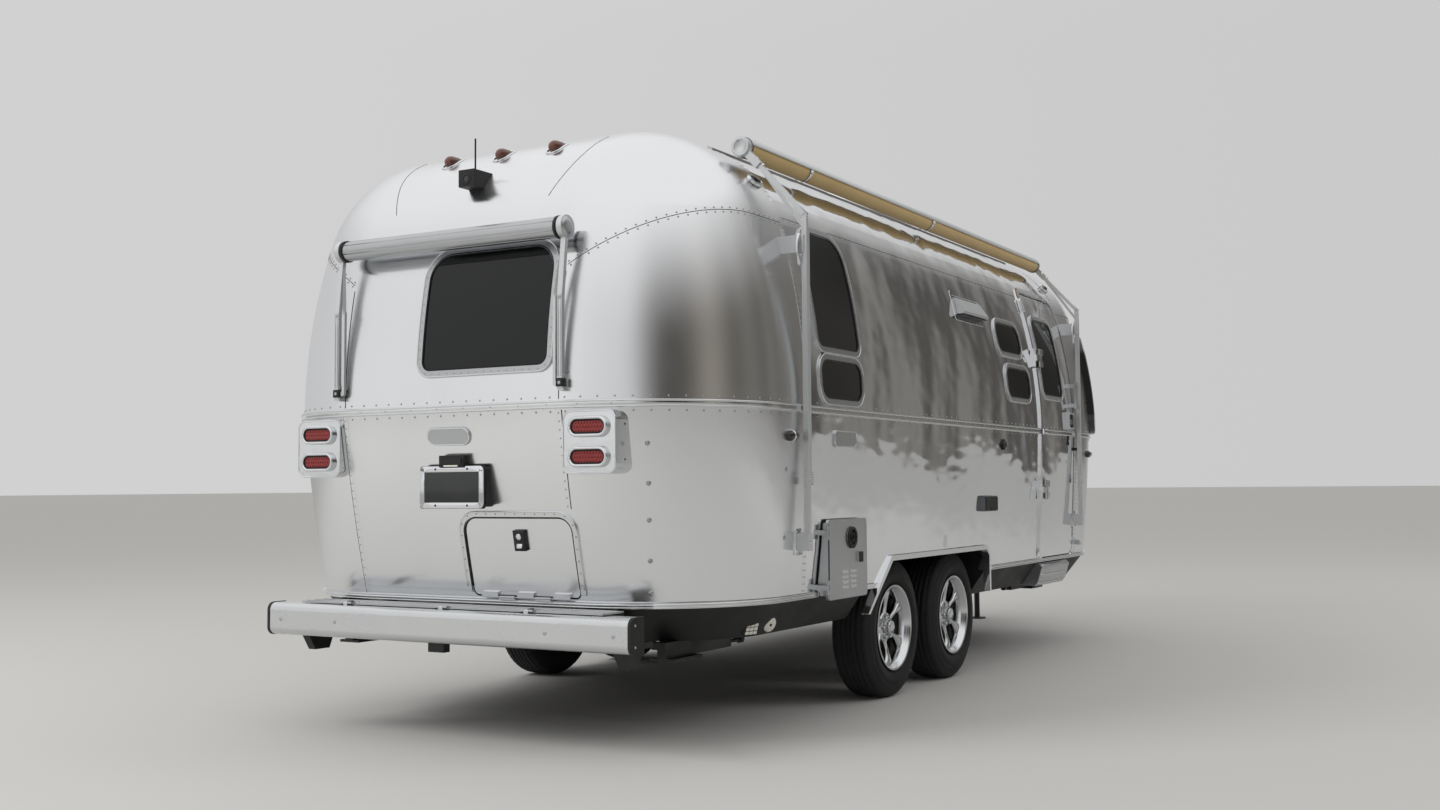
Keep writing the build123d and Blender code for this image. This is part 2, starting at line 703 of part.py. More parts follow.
# rear hatch with its hinge and the locker behind it
hatch_knuckles = [(-560, -470), (-365, -275), (-170, -80)]
with BuildPart() as rear_hatch:
    add(hatch_region(0))
    add(skin[0], mode=Mode.INTERSECT)
    add(inner, mode=Mode.SUBTRACT)
    for y0, y1 in hatch_knuckles:
        add(rod((hatch_axis_x, y0, hatch_axis_z), (hatch_axis_x, y1, hatch_axis_z), 6))
        block(hatch_axis_x - 3, hatch_axis_x + 40, y0, y1, hatch_axis_z + 2, hatch_axis_z + 22)
    add(rod((hatch_axis_x, -565, hatch_axis_z), (hatch_axis_x, -75, hatch_axis_z), 3 + pin_gap), mode=Mode.SUBTRACT)
    block(rear + 20, rear + 140, -360, -306, 846, 928)
    with BuildPart(mode=Mode.PRIVATE) as latch_space:
        block(rear, rear + 300, -1400, 1400, sill_z, 1200)
        add(skin[-12], mode=Mode.SUBTRACT)
    add(latch_space.part, mode=Mode.SUBTRACT)
keep("rear_hatch", rear_hatch)

with BuildPart() as rear_locker:
    block(rear + 120, at(760), -640, -2, floor_top, 1010)
    add(inner, mode=Mode.INTERSECT)
    block(rear, at(750), -630, -12, floor_top + 10, 1000, mode=Mode.SUBTRACT)
    add(hatch_hole, mode=Mode.SUBTRACT)
    add(rod((hatch_axis_x, -560, hatch_axis_z), (hatch_axis_x, -80, hatch_axis_z), 3))
    for y0, y1 in ((-460, -375), (-265, -180)):
        add(rod((hatch_axis_x, y0, hatch_axis_z), (hatch_axis_x, y1, hatch_axis_z), 6))
        with BuildPart(mode=Mode.PRIVATE) as leaf:
            block(hatch_axis_x - 4, hatch_axis_x + 30, y0, y1, sill_z + 24, hatch_axis_z)
            add(skin[0], mode=Mode.SUBTRACT)
        add(leaf.part)
keep("rear_locker", rear_locker)

with BuildPart() as hatch_frame:
    with BuildPart(mode=Mode.PRIVATE) as surround:
        block(rear - 20, rear + 300, -700, 60, hatch_axis_z + 18, 1040)
        add(hatch_region(34), mode=Mode.INTERSECT)
    add(on_skin(surround.part, -8))
    add(hatch_region(9), mode=Mode.SUBTRACT)
keep("hatch_frame", hatch_frame)

# bumper, its black ends, the tray behind it and the tray's lid
bumper_rear = -75.0
bumper_top = 587.5
bumper_low = 440.0
bumper_half = 1000.0
bumper_sheet = 5.0
lid_axis = (at(-34), bumper_top + 10)
lid_straps = (-465.0, 0.0, 559.0)


def bumper_section(x1, inset):
    x0 = bumper_rear + inset
    z0 = bumper_low + inset
    z1 = bumper_top - inset
    with BuildSketch(Plane(origin=(0, -bumper_half, 0), x_dir=(1, 0, 0), z_dir=(0, -1, 0))) as face:
        with Locations((at((x0 + x1) / 2), (z0 + z1) / 2)):
            Rectangle(x1 - x0, z1 - z0)
        fillet(face.vertices().group_by(Axis.X)[0], 34 - inset)
    return face.sketch


with BuildPart() as bumper:
    extrude(bumper_section(20, 0), amount=-2 * bumper_half)
    extrude(bumper_section(30, bumper_sheet), amount=-2 * bumper_half, mode=Mode.SUBTRACT)
    for y in lid_straps:
        add(rod((lid_axis[0], y - 12, lid_axis[1]), (lid_axis[0], y + 12, lid_axis[1]), 6))
        add(rod((lid_axis[0], y - 34, lid_axis[1]), (lid_axis[0], y + 34, lid_axis[1]), 3))
        block(lid_axis[0] - 6, lid_axis[0] + 6, y - 12, y + 12, bumper_top - 2, lid_axis[1])
keep("bumper", bumper)

with BuildPart() as bumper_ends:
    extrude(bumper_section(26, -2), amount=14)
    extrude(bumper_section(26, -2).moved(Location((0, 2 * bumper_half + 14, 0))), amount=14)
keep("bumper_ends", bumper_ends)

with BuildPart() as bumper_tray:
    block(at(14), at(140), -840, 840, 490, bumper_top - bumper_sheet)
    block(at(20), at(134), -834, 834, 496, bumper_top + 10, mode=Mode.SUBTRACT)
    for side in (-1, 1):
        with BuildSketch(Plane(origin=(0, side * 900, 0), x_dir=(1, 0, 0), z_dir=(0, -1, 0))):
            Polygon((at(24), 445), (at(200), 445), (at(165), 362), (at(75), 362), align=None)
        extrude(amount=side * 44)
        y0, y1 = sorted((side * 856, side * 944))
        block(at(-40), at(200), y0, y1, 445, 470)
    block(at(20), at(60), 30, 120, 392, 490)
keep("bumper_tray", bumper_tray)

with BuildPart() as bumper_lid:
    with BuildSketch(Plane.XY.offset(lid_axis[1] - 7)):
        with Locations((at(54), 0)):
            RectangleRounded(160, 1700, 14)
    extrude(amount=6)
    for y in lid_straps:
        for y0, y1 in ((y - 34, y - 13), (y + 13, y + 34)):
            add(rod((lid_axis[0], y0, lid_axis[1]), (lid_axis[0], y1, lid_axis[1]), 6))
            block(lid_axis[0], lid_axis[0] + 24, y0, y1, lid_axis[1] - 3, lid_axis[1] + 3)
        pin = rod((lid_axis[0], y - 34, lid_axis[1]), (lid_axis[0], y + 34, lid_axis[1]), 3 + pin_gap)
        add(pin, mode=Mode.SUBTRACT)
keep("bumper_lid", bumper_lid)

# tail lamps: two lenses in a housing on each side
lamp_y = 765.0
lamp_z0 = 1168.0
lamp_z1 = 1435.0
lamp_width = 270.0
lens_heights = (1366.0, 1240.0)
with BuildPart() as lamp_housings:
    for side in (-1, 1):
        with BuildPart() as housing:
            with BuildSketch(facing(180, rear - 4, side * lamp_y, (lamp_z0 + lamp_z1) / 2)):
                RectangleRounded(lamp_width, lamp_z1 - lamp_z0, 42)
            extrude(amount=-170)
            add(skin[0], mode=Mode.SUBTRACT)
            for z in lens_heights:
                with BuildSketch(facing(180, rear - 4, side * lamp_y, z)):
                    SlotOverall(196, 84)
                extrude(amount=14)
                with BuildSketch(facing(180, rear - 20, side * lamp_y, z)):
                    SlotOverall(168, 58)
                extrude(amount=-14, mode=Mode.SUBTRACT)
        add(housing.part)
keep("lamp_housings", lamp_housings)

with BuildPart() as lamp_lenses:
    for side in (-1, 1):
        for z in lens_heights:
            with BuildSketch(facing(180, rear - 6, side * lamp_y, z)):
                SlotOverall(168, 58)
            extrude(amount=9)
keep("lamp_lenses", lamp_lenses)

# marker lamps: station, height, half length and half width of each, on both sides
side_marker_table = [
    (815.0, 1336.0, 44.0, 24.0),
    (5557.0, 1329.0, 44.0, 24.0),
]
corner_lamp_stations = (907.0, 5293.0)
corner_lamp_z = 2520.0
with BuildPart() as side_markers:
    for station, z, half_length, half_height in side_marker_table:
        past = max(station - (body_length - cap_depth), 0)
        y = corner_y + sqrt(cap_depth**2 - past**2)
        for side in (-1, 1):
            add(bullet(at(station), side * y, z, half_length, half_height))
    slope = asin((corner_lamp_z - shoulder_centre_z) / shoulder_radius)
    for station in corner_lamp_stations:
        for side in (-1, 1):
            out = Vector(0, side * cos(slope), sin(slope))
            centre = Vector(at(station), side * corner_y, shoulder_centre_z) + out * (shoulder_radius - 20)
            with BuildSketch(Plane(origin=tuple(centre), x_dir=(1, 0, 0), z_dir=tuple(out))) as oval:
                Ellipse(48, 25)
            with BuildPart(mode=Mode.PRIVATE) as bezel:
                extrude(oval.sketch, amount=34, taper=12)
                add(skin[0], mode=Mode.SUBTRACT)
            add(bezel.part)
keep("side_markers", side_markers)

top_marker_y = (-307.0, 0.0, 307.0)
top_marker_inset = 407.0
top_marker_rise = sqrt(shoulder_radius**2 - (cap_depth - top_marker_inset) ** 2)
with BuildPart() as top_markers:
    for x in (rear + top_marker_inset, front - top_marker_inset):
        for y in top_marker_y:
            add(bullet(x, y, shoulder_centre_z + top_marker_rise, 54, 29))
keep("top_markers", top_markers)

# blank plates and badges on the skin: angle, x, y, z, width, height, corner radius
badge_table = [
    (-90, at(1380.0), -half_width, 1336.0, 250.0, 80.0, 26.0),
    (180, rear, 0.0, 1342.0, 240.0, 80.0, 39.0),
]
with BuildPart() as badges:
    for angle, x, y, z, width, height, corner in badge_table:
        add(on_skin(panel_prism(facing(angle, x, y, z), width, height, corner, corner), -8))
keep("badges", badges)

with BuildPart() as plate_holder:
    with BuildSketch(facing(180, rear + 8, -22, 1118)):
        RectangleRounded(362, 188, 14)
    extrude(amount=-14)
    with BuildSketch(facing(180, rear + 20, -30, 1118)):
        RectangleRounded(350, 172, 14)
    extrude(amount=-80)
    block(rear - 2, rear + 90, -95, 42, 1206, 1258)
    add(skin[0], mode=Mode.SUBTRACT)
keep("plate_holder", plate_holder)

# awnings: a side one with folding arms and a short one over the rear window
roller_y = 1003.0
roller_z = 2688.0
roller_radius = 52.0
arm_stations = (910.0, 5230.0)
arm_y = 1318.0
arm_width = 26.0
arm_depth = 20.0
arm_low_z = 830.0
arm_bend_z = 2352.0
head_length = 130.0
rear_roller_x = rear + 12
rear_roller_z = 2216.0
rear_roller_radius = 45.0
rear_arm_y = 634.0
with BuildPart() as awning_arms:
    knee = Vector(0, -arm_y, arm_bend_z - 8)
    centre = Vector(0, -roller_y, roller_z)
    head = centre + (knee - centre).normalized() * head_length
    for station, inward in zip(arm_stations, (1, -1)):
        x = Vector(at(station), 0, 0)
        off = Vector(-9 * inward, 0, 0)
        add(beam((x.X, -arm_y, arm_low_z), (x.X, -arm_y, arm_bend_z), arm_width, arm_depth))
        add(beam(tuple(x + knee), tuple(x + head), arm_width, arm_depth))
        add(beam(tuple(x + off + head), tuple(x + off + centre), arm_width, arm_depth + 16))
        add(beam((x.X + 24, -arm_y, 1150), (x.X + 24, -arm_y, 2280), 16, 16))
        add(beam((x.X + 24, -arm_y, 2270), tuple(x + head + Vector(18, 0, -10)), 16, 16))
        block(x.X - 20, x.X + 20, -arm_y - 14, -1200, arm_low_z - 8, arm_low_z + 70)
        block(x.X - 18, x.X + 36, -arm_y - 13, -arm_y + 10, 1120, 1176)
        block(x.X - 16, x.X + 14, -arm_y, -1150, 2170, 2250)
    for x in (at(arm_stations[0]) - 26, at(arm_stations[1]) - 4):
        with Locations(Plane(origin=(x, -roller_y, roller_z), z_dir=(1, 0, 0)).location):
            Cylinder(roller_radius - 4, 30, align=(Align.CENTER, Align.CENTER, Align.MIN))
    add(skin[0], mode=Mode.SUBTRACT)
    for side in (-1, 1):
        y = side * rear_arm_y
        add(beam((rear - 20, y, 1530), (rear - 20, y, 1930), 24, 20))
        add(beam((rear - 20, y, 1915), (rear_roller_x, y, rear_roller_z), 24, 20))
        add(beam((rear - 16, y - side * 34, 1545), (rear - 14, y - side * 34, 1930), 14, 14))
        add(beam((rear - 14, y - side * 34, 1920), (rear_roller_x - 6, y - side * 8, rear_roller_z - 66), 14, 14))
        add(beam((rear - 17, y, 1552), (rear - 17, y - side * 36, 1552), 14, 22))
        with BuildPart(mode=Mode.PRIVATE) as foot:
            block(rear - 26, rear + 60, y - 16, y + 16, 1520, 1590)
            add(skin[0], mode=Mode.SUBTRACT)
        add(foot.part)
        with Locations(Plane(origin=(rear_roller_x, y - 13, rear_roller_z), z_dir=(0, 1, 0)).location):
            Cylinder(50, 26, align=(Align.CENTER, Align.CENTER, Align.MIN))
keep("awning_arms", awning_arms)

with BuildPart() as awning_roller:
    add(
        rod(
            (at(arm_stations[0]) + 4, -roller_y, roller_z), (at(arm_stations[1]) - 4, -roller_y, roller_z),
            roller_radius,
        )
    )
keep("awning_roller", awning_roller)

with BuildPart() as rear_roller:
    end = rear_arm_y - 13
    add(rod((rear_roller_x, -end, rear_roller_z), (rear_roller_x, end, rear_roller_z), rear_roller_radius))
keep("rear_roller", rear_roller)

rail_skin_y = 800.0
with BuildPart() as awning_rails:
    block(at(950), at(5195), -rail_skin_y - 14, -rail_skin_y + 14, roof_z - 140, roof_z + 60)
    add(skin[-12], mode=Mode.INTERSECT)
    add(skin[0], mode=Mode.SUBTRACT)
keep("awning_rails", awning_rails)

# roof fittings
with BuildPart() as air_conditioner:
    with BuildSketch(Plane.XY.offset(roof_z)):
        with Locations((at(4260), 0)):
            RectangleRounded(800, 600, 110)
    extrude(amount=240, taper=4)
    # height above the roof, length, width and corner radius of the shroud
    for low, high in (
        ((200, 880, 680, 150), (262, 930, 730, 170)),
        ((262, 930, 730, 170), (330, 840, 640, 160)),
    ):
        for rise, length, width, corner in (low, high):
            with BuildSketch(Plane.XY.offset(roof_z + rise)):
                with Locations((at(4260), 0)):
                    RectangleRounded(length, width, corner)
        loft()
keep("air_conditioner", air_conditioner)

with BuildPart() as roof_vents:
    for station in (1850.0, 5150.0):
        with BuildSketch(Plane.XY.offset(roof_z)):
            with Locations((at(station), 0)):
                RectangleRounded(430, 430, 30)
        with BuildSketch(Plane.XY.offset(roof_z + 72)):
            with Locations((at(station), 0)):
                RectangleRounded(390, 390, 40)
        loft()
    for station, y in ((2600.0, 420.0), (3100.0, -360.0)):
        with Locations((at(station), y, roof_z)):
            Cylinder(38, 80, align=(Align.CENTER, Align.CENTER, Align.MIN))
keep("roof_vents", roof_vents)

with BuildPart() as rear_camera:
    block(at(128), at(300), -44, 44, 2478, 2556)
    add(skin[0], mode=Mode.SUBTRACT)
    with Locations((at(210), 14, 2540)):
        Cylinder(4, 175, align=(Align.CENTER, Align.CENTER, Align.MIN))
keep("rear_camera", rear_camera)

# fittings on the kerb wall
with BuildPart() as wall_fittings:
    with BuildSketch(Plane(origin=(at(3110), 0, 0), x_dir=(0, 1, 0), z_dir=(1, 0, 0))):
        Polygon((-1100, 2112), (-1258, 2117), (-1262, 2132), (-1206, 2212), (-1100, 2222), align=None)
    extrude(amount=420)
    block(at(5290), at(5330), -half_width, -1200, 684, 716)
    add(skin[0], mode=Mode.SUBTRACT)
keep("wall_fittings", wall_fittings)

with BuildPart() as wall_sockets:
    block(at(3310), at(3530), -half_width - 8, -1200, 954, 1045)
    with Locations(facing(-90, at(3684), -half_width + 4, 1358).location):
        Cylinder(21, 40)
    add(skin[0], mode=Mode.SUBTRACT)
keep("wall_sockets", wall_sockets)

# entry step folded under the door, its end profile in y and z
step_profile = [
    (-1080, 588), (-1244, 588), (-1268, 562), (-1262, 552), (-1238, 470), (-1214, 438), (-1100, 446), (-1080, 500)
]
step_pocket = [(-1150, 540), (-1256, 548), (-1236, 486), (-1150, 492)]
with BuildPart() as entry_step:
    with BuildSketch(Plane(origin=(at(4480), 0, 0), x_dir=(0, 1, 0), z_dir=(1, 0, 0))):
        Polygon(*step_profile, align=None)
    extrude(amount=620)
    with BuildSketch(Plane(origin=(at(4500), 0, 0), x_dir=(0, 1, 0), z_dir=(1, 0, 0))):
        Polygon(*step_pocket, align=None)
    extrude(amount=580, mode=Mode.SUBTRACT)
    add(pan_block(0), mode=Mode.SUBTRACT)
keep("entry_step", entry_step)

# folding stabiliser legs under the corners
with BuildPart() as stabilisers:
    for station, turn in ((640.0, 1), (5160.0, -1)):
        for side in (-1, 1):
            x, y = at(station), side * 900
            block(x - 330, x + 330, y - 34, y + 34, 420, pan_z)
            block(x - 300, x + 260, y - 24, y + 24, 380, 420)
            xa, xb = sorted((x - turn * 300, x - turn * 60))
            block(xa, xb, y - 60, y + 60, 368, 380)
            add(rod((x + turn * 200, y, 400), (x + turn * 372, y, 400), 9))
            add(rod((x + turn * 372, y, 400), (x + turn * 400, y, 400), 17))
keep("stabilisers", stabilisers)

# coupler, tongue jack and gas-bottle cover
with BuildPart() as coupler:
    with BuildSketch(Plane.XY.offset(474)):
        with Locations((at(coupler_station - 155), 0)):
            RectangleRounded(310, 124, 40)
    extrude(amount=88)
    block(at(coupler_station - 310), at(coupler_station - 250), -62, 62, 474, 588)
    with BuildSketch(Plane.XY.offset(562)):
        with Locations((at(coupler_station - 150), 0)):
            SlotOverall(150, 46)
    extrude(amount=26)
    with Locations((at(coupler_station - 62), 0, 474)):
        Cylinder(ball_radius, 52, align=(Align.CENTER, Align.CENTER, Align.MIN), mode=Mode.SUBTRACT)
keep("coupler", coupler)

with BuildPart() as tongue_jack:
    with Locations((at(jack_station), 0, 0)):
        Cylinder(70, 12, align=(Align.CENTER, Align.CENTER, Align.MIN))
        Cylinder(22, 500, align=(Align.CENTER, Align.CENTER, Align.MIN))
    with Locations((at(jack_station), 0, 330)):
        Cylinder(jack_radius, 560, align=(Align.CENTER, Align.CENTER, Align.MIN))
    with Locations((at(jack_station), 0, aframe_z + 70)):
        Cylinder(62, 14, align=(Align.CENTER, Align.CENTER, Align.MIN))
    with BuildSketch(Plane.XY.offset(890)):
        with Locations((at(jack_station), 0)):
            RectangleRounded(150, 130, 30)
    with BuildSketch(Plane.XY.offset(1120)):
        with Locations((at(jack_station), 0)):
            RectangleRounded(126, 112, 34)
    loft()
keep("tongue_jack", tongue_jack)

cover_top = 1230.0
with BuildPart() as gas_cover:
    block(at(6222), at(6582), -330, 330, aframe_z + aframe_height / 2, cover_top)
    fillet(gas_cover.edges().filter_by(Axis.Z), 110)
    fillet(gas_cover.edges().group_by(Axis.Z)[-1], 70)
keep("gas_cover", gas_cover)

# plain furniture seen through the glass
with BuildPart() as furniture:
    block(at(800), at(1660), -560, 1200, floor_top, 1120)
    block(at(3500), at(5000), 640, 1240, floor_top, 1540)
    block(at(3480), at(4300), -1240, -700, floor_top, 1540)
    block(at(5540), at(6000), -1100, 1100, floor_top, 1060)
    add(inner, mode=Mode.INTERSECT)
keep("furniture", furniture)
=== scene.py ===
import math

import bpy
import numpy as np
from mathutils import Matrix


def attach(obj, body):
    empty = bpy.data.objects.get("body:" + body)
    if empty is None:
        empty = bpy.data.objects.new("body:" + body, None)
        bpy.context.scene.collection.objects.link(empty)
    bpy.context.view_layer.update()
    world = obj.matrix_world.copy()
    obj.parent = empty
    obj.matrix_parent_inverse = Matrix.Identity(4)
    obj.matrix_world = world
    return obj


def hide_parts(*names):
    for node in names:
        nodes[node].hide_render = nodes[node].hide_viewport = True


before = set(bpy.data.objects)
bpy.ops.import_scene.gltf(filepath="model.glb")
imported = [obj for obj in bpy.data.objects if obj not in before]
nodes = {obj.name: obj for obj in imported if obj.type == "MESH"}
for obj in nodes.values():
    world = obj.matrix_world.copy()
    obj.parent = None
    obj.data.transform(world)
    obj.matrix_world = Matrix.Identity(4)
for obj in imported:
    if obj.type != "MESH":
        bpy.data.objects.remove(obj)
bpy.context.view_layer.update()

print("frame loaded:", len(nodes), "pieces")

# the caravan's skin, in metres: the solids' own section; stations count x from the rearmost skin
shell = {
    "rear": -3.6115,
    "length": 6.2,
    "halfWidth": 1.289,
    "belt": 1.463,
    "lean": 0.13,
    "shoulder": 2.325,
    "capDepth": 0.715,
    "rearSeam": 0.98,
    "frontSeam": 5.25,
    "lowHeights": (0.6, 1.03, 1.463),
    "lowEndTuck": (0.17, 0.072, 0.0),
    "lowSideTuck": (0.036, 0.015, 0.0),
    "lowCorner": (0.632, 0.68, 0.715),
}
noseX = shell["rear"] + shell["length"]
sideRadius = ((shell["shoulder"] - shell["belt"]) ** 2 + shell["lean"] ** 2) / (2 * shell["lean"])
leanAngle = math.asin((shell["shoulder"] - shell["belt"]) / sideRadius)
shoulderRadius = (shell["capDepth"] - shell["lean"]) / math.cos(leanAngle)
shoulderCentre = shell["shoulder"] - shoulderRadius * math.sin(leanAngle)
roofZ = shoulderCentre + shoulderRadius
cornerY = shell["halfWidth"] - shell["capDepth"]


def station(distance):
    return shell["rear"] + distance


def through(z, heights, values):  # the parabola through three heights and values
    return np.polyval(np.polyfit(heights, values, 2), z)


def insets(z):
    # the inset of the ends, that of the sides and the plan's corner radius at each height
    z = np.asarray(z, float)
    low = np.minimum(z, shell["belt"])
    endLow = through(low, shell["lowHeights"], shell["lowEndTuck"])
    sideLow = through(low, shell["lowHeights"], shell["lowSideTuck"])
    cornerLow = through(low, shell["lowHeights"], shell["lowCorner"])
    rise = np.clip(z - shell["belt"], 0, shell["shoulder"] - shell["belt"])
    wallInset = sideRadius - np.sqrt(sideRadius ** 2 - rise ** 2)
    high = np.clip(z - shoulderCentre, 0, shoulderRadius)
    domeInset = shell["capDepth"] - np.sqrt(shoulderRadius ** 2 - high ** 2)
    upper = np.where(z > shell["shoulder"], domeInset, wallInset)
    above = z > shell["belt"]
    return (
        np.where(above, upper, endLow),
        np.where(above, upper, sideLow),
        np.where(above, shell["capDepth"] - upper, cornerLow),
    )


def slope(z):
    # how far the skin leans from upright at each height: positive when it faces upward
    step = 1e-3
    endUp, sideUp, _ = insets(np.asarray(z) + step)
    endDown, sideDown, _ = insets(np.asarray(z) - step)
    return np.arctan2(endUp - endDown, 2 * step), np.arctan2(sideUp - sideDown, 2 * step)


def onSide(x, z, side, proud=0.0):
    # a point of the flat run of a side: half width less the inset at that height, moved out by proud
    x, z = np.broadcast_arrays(np.asarray(x, float), np.asarray(z, float))
    inset = insets(z)[1]
    lean = slope(z)[1]
    y = side * (shell["halfWidth"] - inset + proud * np.cos(lean))
    normal = np.stack([0 * x, side * np.cos(lean), np.sin(lean)], -1)
    return np.stack([x, y, z + proud * np.sin(lean)], -1), normal


def onEnd(y, z, end, proud=0.0):
    # the same for the flat middle of the tail (end -1) and the nose (end 1)
    y, z = np.broadcast_arrays(np.asarray(y, float), np.asarray(z, float))
    inset = insets(z)[0]
    lean = slope(z)[0]
    edge = shell["rear"] if end < 0 else noseX
    x = edge - end * (inset - proud * np.cos(lean))
    normal = np.stack([end * np.cos(lean) + 0 * y, 0 * y, np.sin(lean)], -1)
    return np.stack([x, y, z + proud * np.sin(lean)], -1), normal


def onCorner(turn, z, side, end, proud=0.0):
    # a rounded corner: its centre plus the corner radius and proud, at an angle that turn takes from 0 at
    # the end's flat to 1 at the side's flat
    turn, z = np.broadcast_arrays(np.asarray(turn, float), np.asarray(z, float))
    endInset, sideInset, corner = insets(z)
    edge = shell["rear"] if end < 0 else noseX
    centreX = edge - end * (endInset + corner)
    centreY = shell["halfWidth"] - sideInset - corner
    angle = turn * math.pi / 2
    endLean, sideLean = slope(z)
    lean = endLean * np.cos(angle) ** 2 + sideLean * np.sin(angle) ** 2
    reach = corner + proud * np.cos(lean)
    x = centreX + end * reach * np.cos(angle)
    y = side * (centreY + reach * np.sin(angle))
    normal = [end * np.cos(angle) * np.cos(lean), side * np.sin(angle) * np.cos(lean), np.sin(lean)]
    return np.stack([x, y, z + proud * np.sin(lean)], -1), np.stack(normal, -1)


def onRoof(x, y, proud=0.0):
    # the roof between the ends: flat, then z = centre + sqrt(radius ** 2 - over ** 2) down the shoulder
    x, y = np.broadcast_arrays(np.asarray(x, float), np.asarray(y, float))
    over = np.clip(np.abs(y) - cornerY, 0, shoulderRadius * 0.999)
    rise = np.sqrt(shoulderRadius ** 2 - over ** 2)
    normal = np.stack([0 * x, np.sign(y) * over, rise], -1) / shoulderRadius
    points = np.stack([x, y, shoulderCentre + rise], -1)
    return points + proud * normal, normal


def girth(z, proud=0.0, steps=24):
    # the whole outline at one height: quarter circles round the four corners, joined by straight runs
    points, normals = [], []
    for side, end in ((-1, -1), (-1, 1), (1, 1), (1, -1)):
        turn = np.linspace(0, 1, steps) if side * end > 0 else np.linspace(1, 0, steps)
        corner = onCorner(turn, z, side, end, proud)
        points.append(corner[0])
        normals.append(corner[1])
    return np.concatenate(points), np.concatenate(normals)


def spaced(points, normals, pitch, closed=False, inset=0.0):
    # places at an even pitch along a line on the skin, with their normals
    both = np.concatenate([np.asarray(points, float), np.asarray(normals, float)], 1)
    if closed:
        both = np.concatenate([both, both[:1]])
    reach = np.concatenate([[0], np.cumsum(np.linalg.norm(np.diff(both[:, :3], axis=0), axis=1))])
    room = reach[-1] - 2 * inset
    count = max(int(round(room / pitch)), 1)
    at = inset + np.arange(count if closed else count + 1) * room / count
    both = np.stack([np.interp(at, reach, both[:, k]) for k in range(6)], 1)
    normal = both[:, 3:] / np.linalg.norm(both[:, 3:], axis=1)[:, None]
    return both[:, :3], normal


# meshes
toFront, toRear = (1, 0, 0), (-1, 0, 0)
toStreet, toKerb = (0, 1, 0), (0, -1, 0)
toSky = (0, 0, 1)


def addObject(name, data):
    made = bpy.data.objects.new(name, data)
    bpy.context.collection.objects.link(made)
    return made


def finishPiece(name, surface, key, body="caravan", smooth=True, replaced=()):
    # a surface of points and faces, or a list of them, as a piece on a body that may replace CAD nodes
    points, faces = joinParts(surface) if isinstance(surface, list) else surface
    faces = faces if isinstance(faces, list) else faces.tolist()
    mesh = bpy.data.meshes.new(name)
    mesh.from_pydata(np.asarray(points, float).reshape(-1, 3).tolist(), [], faces)
    mesh.polygons.foreach_set("use_smooth", [smooth] * len(mesh.polygons))
    mesh.validate()
    mesh.update()
    piece = addObject(name, mesh)
    piece.data.materials.append(finish[key])
    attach(piece, body)
    if replaced:
        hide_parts(*replaced)
    return piece


def joinParts(parts):
    # several (points, faces) surfaces as one
    points, faces, first = [], [], 0
    for partPoints, partFaces in parts:
        partPoints = np.asarray(partPoints, float).reshape(-1, 3)
        partFaces = partFaces if isinstance(partFaces, list) else np.asarray(partFaces).tolist()
        points.append(partPoints)
        faces += [[index + first for index in face] for face in partFaces]
        first += len(partPoints)
    return np.concatenate(points), faces


def mirrored(surface):
    # a copy on the other side of the centre plane, with its faces turned to point outward again
    points, faces = surface
    faces = faces if isinstance(faces, list) else faces.tolist()
    return points * (1, -1, 1), [face[::-1] for face in faces]


def gridFaces(rows, columns, closeRows=False, closeColumns=False):
    # quads between neighbouring rows and columns of a grid, wrapping round where it closes
    r = np.arange(rows if closeRows else rows - 1)
    c = np.arange(columns if closeColumns else columns - 1)
    a = (r[:, None] * columns + c[None, :]).ravel()
    b = (r[:, None] * columns + (c[None, :] + 1) % columns).ravel()
    d = (((r[:, None] + 1) % rows) * columns + c[None, :]).ravel()
    e = (((r[:, None] + 1) % rows) * columns + (c[None, :] + 1) % columns).ravel()
    return np.stack([a, b, e, d], 1)


def spun(profile, centre, axis, steps=32, closed=False):
    # a profile of (radius, distance) pairs turned round an axis: a closed one makes a ring, and an open
    # one that starts and ends at radius 0 a body with flat ends
    profile = np.asarray(profile, float)
    axis = np.asarray(axis, float) / np.linalg.norm(axis)
    helper = np.array([0, 0, 1.0]) if abs(axis[2]) < 0.9 else np.array([1.0, 0, 0])
    across = np.cross(helper, axis)
    across /= np.linalg.norm(across)
    other = np.cross(axis, across)
    angle = np.arange(steps) * 2 * math.pi / steps
    ring = np.cos(angle)[:, None] * across + np.sin(angle)[:, None] * other
    radii = np.maximum(profile[:, 0], 1e-5)
    points = np.asarray(centre, float) + radii[:, None, None] * ring[None] + profile[:, None, 1, None] * axis
    faces = gridFaces(len(profile), steps, closed, True).tolist()
    if not closed:
        faces.append(list(range(steps))[::-1])
        faces.append([(len(profile) - 1) * steps + i for i in range(steps)])
    return points.reshape(-1, 3), faces


def swept(path, normals, profile, closed=False):
    # a closed profile of (across, out) pairs carried along a path, out along the normal
    path = np.asarray(path, float)
    normals = np.broadcast_to(np.asarray(normals, float), path.shape)
    profile = np.asarray(profile, float)
    ahead = np.roll(path, -1, 0) - np.roll(path, 1, 0)
    if not closed:
        ahead[0] = path[1] - path[0]
        ahead[-1] = path[-1] - path[-2]
    ahead /= np.linalg.norm(ahead, axis=1)[:, None]
    across = np.cross(ahead, normals)
    across /= np.linalg.norm(across, axis=1)[:, None]
    aside, out = profile[None, :, :1], profile[None, :, 1:]
    points = path[:, None] + aside * across[:, None] + out * normals[:, None]
    count, last = len(profile), (len(path) - 1) * len(profile)
    faces = gridFaces(len(path), count, closed, True)[:, ::-1].tolist()
    if not closed:
        faces += [list(range(count)), list(range(last + count - 1, last - 1, -1))]
    return points.reshape(-1, 3), faces


